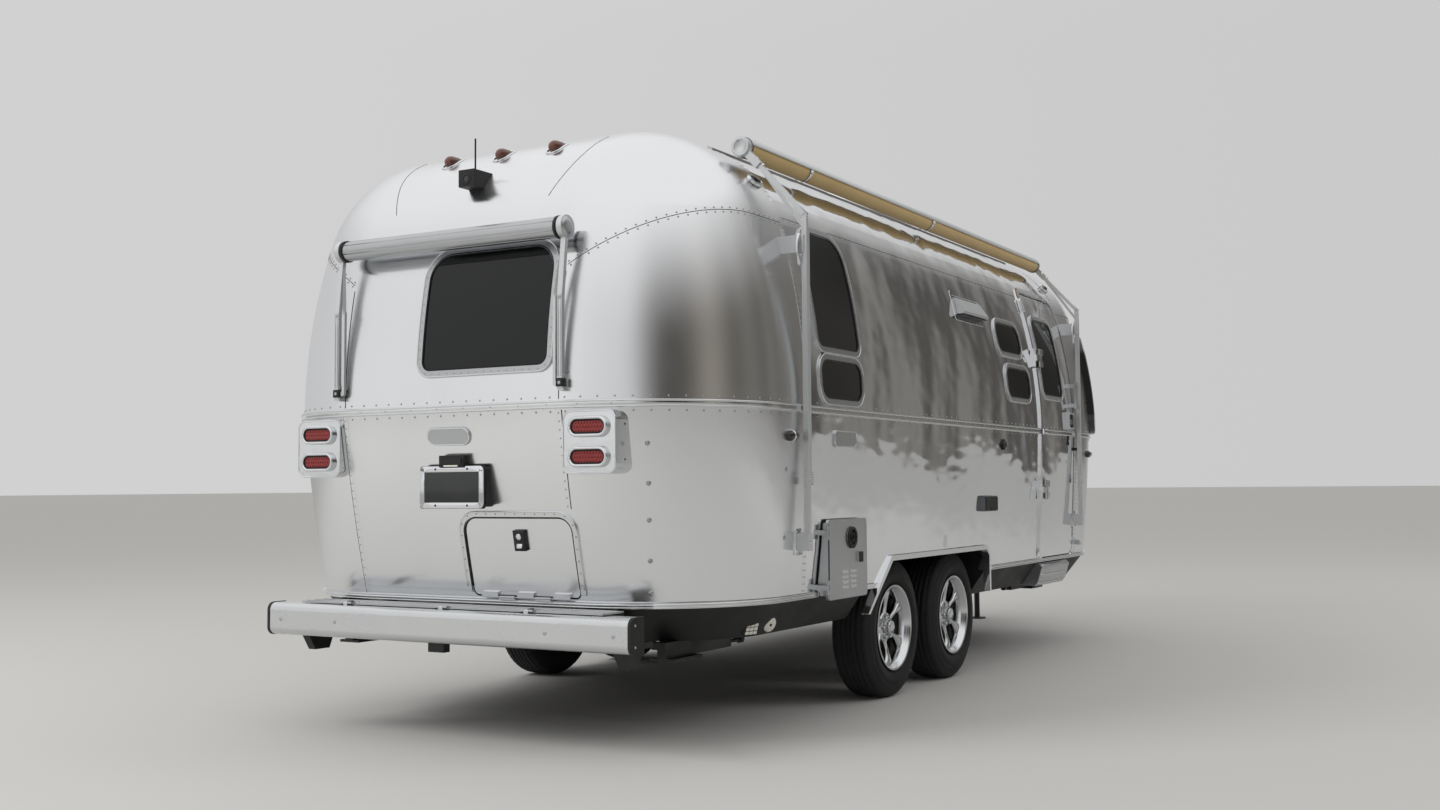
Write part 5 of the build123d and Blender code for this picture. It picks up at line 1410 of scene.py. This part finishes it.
def buildRearAwning():
    look = rearAwningLook
    x, z = station(look["station"]), look["z"]
    rings, lines, joints = [], [], []
    for side in (-1, 1):
        arm = side * look["armY"]
        rings.append(spun(look["ring"], (x, side * look["ringY"], z), (0, side, 0), 36, True))
        lines.append(spun(button(*look["disc"]), (x, side * look["discY"], z), (0, side, 0), 36))
        low = (station(look["joint"][0]), arm - look["jointHalf"], look["jointRun"][0])
        high = (station(look["joint"][1]), arm + look["jointHalf"], look["jointRun"][1])
        joints.append(brick(low, high, look["jointChamfer"]))
        for s, height in look["knobs"]:
            lines.append(domes([(station(s), arm, height)], toRear, *look["knob"], 10))
        face = station(look["armFace"])
        foot, top = look["armRun"]
        for shift in (-look["armRidgeShift"], look["armRidgeShift"]):
            path = np.linspace((face, arm + shift, foot), (face, arm + shift, top), 6)
            lines.append(swept(path, toRear, halfRound(*look["armRidge"])))
    for angle in np.radians(look["lineAngles"]):
        out = np.array([math.cos(angle), 0, math.sin(angle)])
        middle = np.array([x, 0, z]) + out * look["lineRadius"]
        path = np.linspace(middle - [0, look["lineHalf"], 0], middle + [0, look["lineHalf"], 0], 5)
        lines.append(swept(path, out, halfRound(*look["line"])))
    finishPiece("rearAwningRings", rings, "blackPlastic")
    finishPiece("rearAwningLines", lines, "satin")
    finishPiece("rearAwningFeet", joints, "blackSteel")


buildAwning()
buildRearAwning()
print("awnings fitted")

# wheels: ribbed tyres, and cast spokes that curve in from the lip to a deep hub; sections hold (radius, y),
# with y from 0 at the wheel's inner face
wheelLook = {
    "hubZ": 0.365, "innerY": 0.965, "axles": {"rear": 2.195, "front": 3.062},
    "steps": 240, "blocks": 60, "blockShare": 0.26, "slant": 14.0, "middleY": 0.1125, "shoulderFrom": 0.066,
    "treadFrom": 0.3535, "shoulderSipe": 0.0048, "middleSipe": 0.002,
    "ribs": [(0.18, 0.156), (0.148, 0.129), (0.121, 0.104), (0.096, 0.077), (0.069, 0.045)],  # y from, to
    "ribFoot": 0.357, "ribEdge": 0.364, "ribTop": 0.365, "ribDraft": 0.0015,
    "nuts": 6, "nutCircle": 0.057,
    "nut": [(0, 0.168), (0.0105, 0.168), (0.0105, 0.184), (0.008, 0.19), (0, 0.191)],
}
spokeLook = {
    "count": 6, "first": 30, "from": 0.06, "to": 0.194, "sweep": 0.05,
    "half": 0.021, "waist": 0.012, "waistReach": 1.15, "flare": 0.016,
    "face": 0.168, "faceRise": 0.02, "back": 0.14, "backRise": 0.014,
    "section": [(-1, 0.0), (-1, 0.55), (-0.72, 0.92), (0, 1.0), (0.72, 0.92), (1, 0.55), (1, 0.0)],
}
tyreLook = {
    "bead": [(0.228, 0.014), (0.226, 0.02), (0.206, 0.022), (0.206, 0.203), (0.226, 0.205), (0.228, 0.211)],
    "outerWall": [
        (0.238, 0.2155), (0.2395, 0.219), (0.255, 0.2225), (0.2565, 0.2245), (0.275, 0.2248), (0.29, 0.2246),
        (0.292, 0.2225), (0.306, 0.2205), (0.32, 0.2185), (0.322, 0.216), (0.334, 0.212), (0.347, 0.206),
        (0.3555, 0.199), (0.3612, 0.188),
    ],
    "innerWall": [
        (0.3612, 0.037), (0.3555, 0.026), (0.347, 0.019), (0.334, 0.013), (0.322, 0.009), (0.32, 0.0065),
        (0.306, 0.0045), (0.292, 0.0025), (0.29, 0.001), (0.275, 0.001), (0.2565, 0.0012), (0.255, 0.003),
        (0.2395, 0.0065), (0.238, 0.01),
    ],
}
rimLook = {
    "barrel": [
        (0.204, 0.019), (0.204, 0.206), (0.2215, 0.2115), (0.224, 0.2165), (0.2238, 0.2208), (0.2215, 0.2222),
        (0.216, 0.2215), (0.212, 0.217), (0.2085, 0.211), (0.203, 0.202), (0.1985, 0.193), (0.1945, 0.188),
        (0.1915, 0.15), (0.1905, 0.06), (0.198, 0.02), (0.211, 0.004), (0.221, 0.004), (0.221, 0.013),
    ],
    "hub": [
        (0, 0.14), (0.074, 0.14), (0.08, 0.146), (0.08, 0.16), (0.074, 0.168), (0.046, 0.171), (0, 0.171),
    ],
    "cap": [
        (0, 0.165), (0.036, 0.165), (0.036, 0.198), (0.034, 0.2035), (0.031, 0.2045), (0.029, 0.203),
        (0.01, 0.2045), (0, 0.2046),
    ],
    "drum": [
        (0, 0.018), (0.178, 0.018), (0.18, 0.022), (0.178, 0.03), (0.152, 0.036), (0.15, 0.042),
        (0.15, 0.098), (0.138, 0.11), (0.066, 0.118), (0.06, 0.139), (0, 0.139),
    ],
}


def tyreSurface():
    # radius by the way round the section and the angle: five ribs, nicked across by slanted sipes that are
    # deeper on the shoulders
    look = wheelLook
    section = tyreLook["bead"] + tyreLook["outerWall"]
    draft = look["ribDraft"]
    for outer, inner in look["ribs"]:
        section += [(look["ribFoot"], outer + draft), (look["ribEdge"], outer)]
        section += [(look["ribTop"], (outer + inner) / 2)]
        section += [(look["ribEdge"], inner), (look["ribFoot"], inner - draft)]
    section = np.array(section + tyreLook["innerWall"])
    angle = np.arange(look["steps"]) * 2 * math.pi / look["steps"]
    radius = np.repeat(section[:, :1], len(angle), 1)
    y = np.repeat(section[:, 1:], len(angle), 1)
    fromMiddle = np.abs(y - look["middleY"])
    phase = (angle[None, :] * look["blocks"] / (2 * math.pi) + fromMiddle * look["slant"]) % 1.0
    cut = (radius > look["treadFrom"]) & (phase < look["blockShare"])
    depth = np.where(fromMiddle > look["shoulderFrom"], look["shoulderSipe"], look["middleSipe"])
    radius = radius - np.where(cut, depth, 0)
    points = np.stack([radius * np.cos(angle), y, radius * np.sin(angle)], -1)
    return points, gridFaces(len(section), len(angle), True, True)


def spokeSurface(turn):
    # one spoke with t from 0 at the hub to 1 at the rim, and a crowned section round it: its half width is
    # half - waist * sin(pi * t * waistReach) + flare * t ** 3, and its face rises by sin(pi * t / 2) ** 1.5
    look = spokeLook
    t = np.linspace(0, 1, 14)
    reach = look["from"] + (look["to"] - look["from"]) * t
    waist = look["waist"] * np.sin(math.pi * np.minimum(t * look["waistReach"], 1))
    half = look["half"] - waist + look["flare"] * t ** 3
    face = look["face"] + look["faceRise"] * np.sin(t * math.pi / 2) ** 1.5
    back = look["back"] + look["backRise"] * t
    angle = turn + look["sweep"] * np.sin(math.pi * t)
    rows = []
    for across, up in look["section"]:
        side = across * half
        x = reach * np.cos(angle) - side * np.sin(angle)
        z = reach * np.sin(angle) + side * np.cos(angle)
        rows.append(np.stack([x, back + (face - back) * up, z], -1))
    count, last = len(rows), (len(t) - 1) * len(rows)
    faces = gridFaces(len(t), count, False, True)[:, ::-1].tolist()
    faces += [list(range(count)), list(range(last + count - 1, last - 1, -1))]
    return np.stack(rows, 1).reshape(-1, 3), faces


def rimSurface():
    look = wheelLook
    parts = [
        spun(rimLook["barrel"][::-1], (0, 0, 0), toStreet, 96, True),
        spun(rimLook["hub"], (0, 0, 0), toStreet, 60),
        spun(rimLook["cap"], (0, 0, 0), toStreet, 48),
    ]
    for k in range(spokeLook["count"]):
        parts.append(spokeSurface(math.radians(spokeLook["first"]) + k * 2 * math.pi / spokeLook["count"]))
    for k in range(look["nuts"]):
        a = k * 2 * math.pi / look["nuts"]
        place = (look["nutCircle"] * math.cos(a), 0, look["nutCircle"] * math.sin(a))
        parts.append(spun(look["nut"], place, toStreet, 6))
    return joinParts(parts)


def buildWheels():
    tyre, rim = tyreSurface(), rimSurface()
    drum = spun(rimLook["drum"], (0, 0, 0), toStreet, 48)
    for axle, s in wheelLook["axles"].items():
        move = np.array([station(s), wheelLook["innerY"], wheelLook["hubZ"]])
        for name, side in (("kerb", -1), ("street", 1)):
            wheel = f"{name}_{axle}"
            for part, surface, key, replaced in (
                ("tyre", tyre, "tyre", (f"tyre_{wheel}",)), ("rim", rim, "alloy", (f"rim_{wheel}",)),
                ("drum", drum, "drum", ()),
            ):
                placed = (surface[0].reshape(-1, 3) + move, surface[1])
                if side < 0:
                    placed = mirrored(placed)
                finishPiece(f"{part}Wheel_{wheel}", placed, key, f"wheel_{wheel}", True, replaced)


buildWheels()
print("wheels built")

# heater door: louvres, the round port with its pipe, the latch, a dark seal by its hinges and a bead round it
heaterLook = {
    "y": -1.296, "louvre": (0.07, 0.0155, 0.007), "louvreDepth": (0.004, 0.002), "louvreSunk": 0.0005,
    "louvreStations": (1.345, 1.437), "louvreRun": (0.633, 0.705), "louvreRows": 4,
    "port": (1.423, 0.865), "fittingsProud": 0.008,
    "portRing": [(0.036, -0.006), (0.052, -0.006), (0.052, 0.001), (0.044, 0.004), (0.036, 0.001)],
    "portFloor": [(0, -0.012), (0.036, -0.012), (0.036, -0.006), (0, -0.005)],
    "pipe": [(0.014, -0.006), (0.019, -0.006), (0.019, 0.002), (0.014, 0.002)],
    "latchPlace": (1.512, 0.769), "latch": (0.046, 0.05, 0.006), "latchDepth": 0.003,
    "seal": ((1.1605, 0.602), (1.17, 0.933)), "sealProud": (0.001, 0.004),  # from and to: station and height
    "middle": (1.3805, 0.7675), "rimLine": (0.433, 0.369, 0.019), "rim": (0.004, 0.0014, 5),
}


def buildHeaterDoor():
    look = heaterLook
    y = look["y"]
    louvres = []
    for s in look["louvreStations"]:
        for z in np.linspace(*look["louvreRun"], look["louvreRows"]):
            centre = (station(s), y + look["louvreSunk"], z)
            louvres.append(kerbPlate(centre, look["louvre"], *look["louvreDepth"]))
    finishPiece("heaterLouvres", louvres, "paintedArm", "heater_door", False)
    centre = (station(look["port"][0]), y - look["fittingsProud"], look["port"][1])
    port = [spun(look["portRing"], centre, toKerb, 48, True), spun(look["portFloor"], centre, toKerb, 48)]
    finishPiece("heaterPort", port, "blackPlastic", "heater_door")
    finishPiece("heaterPipe", spun(look["pipe"], centre, toKerb, 32, True), "drum", "heater_door")
    s, z = look["latchPlace"]
    latch = kerbPlate((station(s), y - look["fittingsProud"], z), look["latch"], look["latchDepth"])
    (s0, z0), (s1, z1) = look["seal"]
    near, far = look["sealProud"]
    seal = brick((station(s0), y - near, z0), (station(s1), y - far, z1), 0.001)
    finishPiece("heaterLatch", [latch, seal], "blackPlastic", "heater_door", False)
    s, z = look["middle"]
    line = laid(outlineOf(look["rimLine"], 0.04), (station(s), y, z), toFront, toSky)
    finishPiece("heaterRim", swept(line, toKerb, halfRound(*look["rim"]), True), "satin", "heater_door")


# the cover of the outlet box and the round inlet with its four ears on the kerb wall
coverLook = {
    "station": 3.42,
    "lid": (0.208, 0.082, 0.008), "lidY": -1.2972, "lidZ": 0.9995, "lidDepth": (0.006, 0.002),
    "pull": (0.06, 0.01, 0.004), "pullY": -1.303, "pullZ": 0.968, "pullDepth": (0.004, 0.001),
    "inlet": [(0, 0), (0.026, 0), (0.026, 0.008), (0.018, 0.02), (0, 0.021)], "inletPlace": (3.684, 1.358),
    "ear": (0.014, 0.014, 0.006), "earDepth": 0.012, "earReach": 0.026,
}


def buildCovers():
    look = coverLook
    x = station(look["station"])
    lid = kerbPlate((x, look["lidY"], look["lidZ"]), look["lid"], *look["lidDepth"])
    pull = kerbPlate((x, look["pullY"], look["pullZ"]), look["pull"], *look["pullDepth"])
    s, z = look["inletPlace"]
    inlet = spun(look["inlet"], kerbSpot(s, z), toKerb, 32)
    reach = look["earReach"]
    ears = [kerbPlate(kerbSpot(s + u, z + v), look["ear"], look["earDepth"])
            for u, v in ((-reach, 0), (reach, 0), (0, reach), (0, -reach))]
    finishPiece("wallCovers", [lid, pull, inlet] + ears, "blackPlastic", smooth=False)


# the cooker vent: a black grille under the wedge and a riveted flange round its foot
ventLook = {
    "bars": (3.135, 3.505), "barCount": 14, "barHalf": 0.003,
    "barY": (-1.252, -1.215), "barZ": (2.1105, 2.1155),
    "base": (3.116, 3.524), "baseY": (-1.256, -1.212), "baseZ": (2.11, 2.1128),
    "middle": (3.32, 2.166), "flangeLine": (0.47, 0.15, 0.006), "flange": (0.03, 0.002),
    "rivet": (0.0035, 0.0036), "rivetPitch": 0.06,
}


def buildVent():
    look = ventLook
    bars = []
    for s in np.linspace(*look["bars"], look["barCount"]):
        low = (station(s) - look["barHalf"], look["barY"][0], look["barZ"][0])
        high = (station(s) + look["barHalf"], look["barY"][1], look["barZ"][1])
        bars.append(brick(low, high, 0.0005))
    low = (station(look["base"][0]), look["baseY"][0], look["baseZ"][0])
    high = (station(look["base"][1]), look["baseY"][1], look["baseZ"][1])
    bars.append(brick(low, high, 0.001))
    finishPiece("ventGrille", bars, "blackPlastic", smooth=False)
    flange = outlineOf(look["flangeLine"], 0.03)
    s, z = look["middle"]
    line = onSide(station(s) + flange[:, 0], z + flange[:, 1], -1)
    finishPiece("ventFlange", swept(*line, flatStrip(*look["flange"]), True), "skin", smooth=False)
    rivetSpots.append(domes(*spaced(*line, look["rivetPitch"], True), *look["rivet"]))


buildHeaterDoor()
buildCovers()
buildVent()
print("wall fittings fitted")

# bumper: the lid's straps with their feet and drawn ribs, bolts on the face and on the black ends
bumperLook = {
    "straps": (0.559, -0.465), "strap": ((-0.024, -0.0065, 0.5945), (0.012, 0.0065, 0.605)),
    "strapFoot": ((-0.024, -0.026, 0.5955), (0.03, 0.026, 0.5985)),
    "ribStations": (0.000, 0.054, 0.108), "ribHalf": 0.835, "ribZ": 0.5965, "rib": (0.01, 0.003, 5),
    "bolt": (0.009, 0.002), "boltFace": -0.0755, "boltY": (-0.93, -0.59, 0.59, 0.93), "boltZ": 0.513,
    "endBolt": (0.006, 0.003), "endBoltPlace": (-0.04, 1.0135), "endBoltZ": (0.47, 0.557),
}


def buildBumper():
    look = bumperLook
    straps = []
    for y in look["straps"]:
        for part, chamfer in (("strap", 0.002), ("strapFoot", 0.001)):
            low, high = look[part] + np.array([station(0), y, 0])
            straps.append(brick(low, high, chamfer))
    finishPiece("lidStraps", straps, "blackSteel", "bumper_lid", False)
    ribs = []
    for x in map(station, look["ribStations"]):
        line = np.linspace((x, -look["ribHalf"], look["ribZ"]), (x, look["ribHalf"], look["ribZ"]), 12)
        ribs.append(swept(line, toSky, halfRound(*look["rib"])))
    finishPiece("lidRibs", ribs, "satin", "bumper_lid")
    x = station(look["boltFace"])
    bolts = [domes([(x, y, look["boltZ"]) for y in look["boltY"]], toRear, *look["bolt"], 12)]
    s, y = look["endBoltPlace"]
    for side in (-1, 1):
        for z in look["endBoltZ"]:
            bolts.append(domes([(station(s), side * y, z)], (0, side, 0), *look["endBolt"], 10))
    finishPiece("bumperBolts", bolts, "satin")


# belly: the small square lamp with its nine panes and the round inlet on the pan's rear kerb corner
bellyLook = {
    "out": (-0.28, -0.9, -0.33),
    "lamp": (0.69, -1.139, 0.49),
    "base": (0.086, 0.066, 0.012), "baseSunk": 0.012, "baseDepth": (0.022, 0.003),
    "pane": (0.021, 0.015, 0.003), "panePitch": (0.024, 0.018), "paneProud": 0.01, "paneDepth": 0.003,
    "inlet": (0.824, -1.163, 0.497), "inletRing": (0.036, -0.012, 0.006, 0.03, 0.01), "pin": (0.007, 0.004),
}


def buildBelly():
    look = bellyLook
    out = np.array(look["out"])
    out /= np.linalg.norm(out)
    right = np.cross(toSky, out)
    right /= np.linalg.norm(right)
    up = np.cross(out, right)
    lamp = np.array([station(look["lamp"][0]), *look["lamp"][1:]])
    inlet = np.array([station(look["inlet"][0]), *look["inlet"][1:]])
    panes = []
    across, rise = look["panePitch"]
    for k in (-1, 0, 1):
        for j in (-1, 0, 1):
            centre = lamp + out * look["paneProud"] + right * across * k + up * rise * j
            panes.append(plate(centre, right, up, roundedRect(*look["pane"]), look["paneDepth"], 0.001))
    finishPiece("bellyLampGlass", panes, "clearLens", smooth=False)
    base = plate(lamp - out * look["baseSunk"], right, up, roundedRect(*look["base"]), *look["baseDepth"])
    finishPiece("bellyLampBase", base, "blackPlastic", smooth=False)
    ring = spun(button(*look["inletRing"]), inlet, out, 32)
    finishPiece("bellyInlet", ring, "clearLens")
    pinSpot = inlet + out * look["inletRing"][-1]
    finishPiece("bellyInletPin", domes([pinSpot], out, *look["pin"], 12), "drum")


# bolts along the arch trims and the small bright tab above the front wheel
archLook = {
    "bolts": (2.02, 3.34), "boltCount": 9, "boltY": 1.2765, "boltZ": 0.74, "bolt": (0.0055, 0.0025),
    "tab": (2.74, 0.8), "tabSize": (0.034, 0.07, 0.004), "tabSunk": 0.003, "tabDepth": 0.007,
}


def buildArches():
    look = archLook
    places = [(station(s), side * look["boltY"], look["boltZ"])
              for s in np.linspace(*look["bolts"], look["boltCount"]) for side in (-1, 1)]
    outward = np.array([(0, np.sign(place[1]), 0) for place in places])
    finishPiece("archBolts", domes(places, outward, *look["bolt"], 8), "chrome")
    spot = kerbSpot(*look["tab"]) + [0, look["tabSunk"], 0]
    finishPiece("archTab", kerbPlate(spot, look["tabSize"], look["tabDepth"]), "chrome", smooth=False)


# rear camera: a ring round its lens
cameraLook = {
    "station": 0.1278, "z": 2.512, "lens": (0.015, 0.001),
    "ring": [(0.014, -0.004), (0.026, -0.004), (0.026, 0.0006), (0.02, 0.0012), (0.014, 0.0006)],
}


def buildRearCamera():
    face = np.array([station(cameraLook["station"]), 0.0, cameraLook["z"]])
    ring = spun(cameraLook["ring"], face, toRear, 32, True)
    finishPiece("cameraRing", ring, "blackPlastic")
    finishPiece("cameraLens", domes([face], toRear, *cameraLook["lens"], 24), "smoked")


# roof gear: the cooler's slots and its cover's lip, the vents' flanges and ribs, the pipes' caps and feet
roofLook = {
    "cooler": 4.26, "draft": 4, "slotRun": (0.05, 0.17), "slotCount": 6, "slotHeight": 0.009,
    "sideSlots": (0.26, 0.2985, 0.3012), "endSlots": (0.18, 0.3985, 0.4012),  # half length, from and to
    "lipLine": (0.914, 0.714, 0.163), "lipRise": 0.262, "lip": (0.01, 0.006, 7, -0.006),
    "vents": (1.85, 5.15), "ventLine": (0.436, 0.436, 0.034), "ventFlange": (0.05, 0.004),
    "ventRibs": (-0.11, 0.0, 0.11), "ventRibHalf": 0.165, "ventRise": 0.072, "ventRib": (0.026, 0.006, 7),
    "pipes": ((2.6, 0.42), (3.1, -0.36)),  # station, y
    "pipeCap": [(0, 0.072), (0.052, 0.072), (0.052, 0.08), (0.04, 0.094), (0, 0.098)],
    "pipeFoot": (0.075, -0.01, 0.003, 0.05, 0.012),
}


def coolerSlots(x):
    # narrow dark bars on the four leaning walls of the cooler's body
    look = roofLook
    foot = np.array([x, 0, roofZ])
    slots = []
    for part, order in (("sideSlots", [0, 1, 2]), ("endSlots", [1, 0, 2])):
        half, near, far = look[part]
        for sign in (-1, 1):
            for rise in np.linspace(*look["slotRun"], look["slotCount"]):
                lean = rise * math.tan(math.radians(look["draft"]))
                low = np.array([-half, sign * (near - lean), rise])
                high = np.array([half, sign * (far - lean), rise + look["slotHeight"]])
                slots.append(brick(foot + low[order], foot + high[order], 0.0008))
    finishPiece("coolerSlots", slots, "blackPlastic", smooth=False)


def buildRoofGear():
    look = roofLook
    x = station(look["cooler"])
    coolerSlots(x)
    lip = laid(outlineOf(look["lipLine"], 0.06), (x, 0, roofZ + look["lipRise"]), toFront, toStreet)
    parts = [swept(lip, toSky, halfRound(*look["lip"]), True)]
    for x in map(station, look["vents"]):
        path = laid(outlineOf(look["ventLine"], 0.05), (x, 0, roofZ), toFront, toStreet)
        parts.append(swept(path, toSky, flatStrip(*look["ventFlange"]), True))
        half, z = look["ventRibHalf"], roofZ + look["ventRise"]
        for y in look["ventRibs"]:
            rib = np.linspace((x - half, y, z), (x + half, y, z), 8)
            parts.append(swept(rib, toSky, halfRound(*look["ventRib"])))
    for s, y in look["pipes"]:
        parts.append(spun(look["pipeCap"], (station(s), y, roofZ), toSky, 32))
        parts.append(spun(button(*look["pipeFoot"]), (station(s), y, roofZ), toSky, 32))
    finishPiece("roofMouldings", parts, "whitePlastic")


buildBumper()
buildBelly()
buildArches()
buildRearCamera()
buildRoofGear()
print("bumper, belly and roof fitted")

# nose: rims of the corner guards, the gas cover's bead, and fittings of the jack and the coupler
noseLook = {
    "guard": (0.784, 0.714, 0.155, 0.125), "guardZ": 1.845, "guardTurn": 47,
    "guardPlane": 0.045, "guardProud": 0.044, "guardRim": (0.016, 0.006),
    "gas": (6.402, 0.985), "gasLine": (0.3602, 0.6602, 0.11), "gasBead": (0.012, 0.004, 7),
    "jack": 6.72, "jackTop": 1.1195, "jackCap": (0.03, 0.0, 0.006, 0.024, 0.012),
    "jackRings": (0.93, 0.97, 1.01),
    "jackLine": (0.1395, 0.1215, 0.032), "jackBead": (0.006, 0.004, 5, -0.004),
    "latch": ((7.08, -0.01, 0.586), (7.19, 0.01, 0.6)), "latchChamfer": 0.003,
    "latchPin": (0.006, 0.03), "latchPinPlace": (7.085, 0.596),
    "bolt": (0.01, 0.008), "boltStations": (7.01, 7.04), "boltY": 0.062, "boltZ": 0.555,
}


def bandRound(size, spacing, centre, bead):
    # a bead round an upright body of rounded-rectangle plan, standing away from its axis
    line = laid(outlineOf(size, spacing), centre, toFront, toStreet)
    away = line - centre
    away /= np.linalg.norm(away, axis=1)[:, None]
    return swept(line, away, halfRound(*bead), True)


def guardRim(side):
    # the guard's outline on a plane that looks out at the turn, laid on the corner
    look = noseLook
    outline = outlineOf(look["guard"], 0.03)
    turn = look["guardTurn"] + np.degrees(outline[:, 0] / (shell["capDepth"] + look["guardPlane"]))
    z = look["guardZ"] + outline[:, 1]
    line = onCorner(np.clip(turn / 90, 0, 1), z, side, 1, look["guardProud"])
    if side < 0:
        line = (line[0][::-1], line[1][::-1])
    return swept(*line, halfRound(*look["guardRim"]), True)


def buildNose():
    look = noseLook
    finishPiece("guardRims", [guardRim(-1), guardRim(1)], "brightTrim")
    s, z = look["gas"]
    bead = bandRound(look["gasLine"], 0.04, (station(s), 0, z), look["gasBead"])
    finishPiece("gasCoverBead", bead, "brightTrim")
    x = station(look["jack"])
    jack = [spun(button(*look["jackCap"]), (x, 0, look["jackTop"]), toSky, 24)]
    jack += [bandRound(look["jackLine"], 0.03, (x, 0, z), look["jackBead"]) for z in look["jackRings"]]
    finishPiece("jackFittings", jack, "blackPlastic")
    (s0, y0, z0), (s1, y1, z1) = look["latch"]
    latch = brick((station(s0), y0, z0), (station(s1), y1, z1), look["latchChamfer"])
    s, z = look["latchPinPlace"]
    latchPin = spun(pin(*look["latchPin"]), (station(s), 0, z), toStreet, 16)
    rows = [(station(s), side) for s in look["boltStations"] for side in (-1, 1)]
    places = [(x, side * look["boltY"], look["boltZ"]) for x, side in rows]
    bolts = domes(places, [(0, side, 0) for x, side in rows], *look["bolt"], 6)
    finishPiece("couplerFittings", [latch, latchPin, bolts], "satin", smooth=False)


# the folded entry step: bright nosings across its face
stepLook = {
    "run": (4.5, 5.08), "nosing": (0.012, 0.004, 7),
    # y, z and the y and z of the normal
    "rows": ((-1.256, 0.575, -0.6, 0.8), (-1.25, 0.511, -0.96, -0.28), (-1.226, 0.454, -0.8, -0.6)),
}


def buildStep():
    treads = []
    rear, front = (station(s) for s in stepLook["run"])
    for y, z, normalY, normalZ in stepLook["rows"]:
        line = np.linspace((rear, y, z), (front, y, z), 8)
        treads.append(swept(line, (0, normalY, normalZ), halfRound(*stepLook["nosing"])))
    finishPiece("stepNosings", treads, "brightTrim")


buildNose()
buildStep()
finishPiece("skinRivets", rivetSpots, "rivet")
print("nose, step and rivets done")
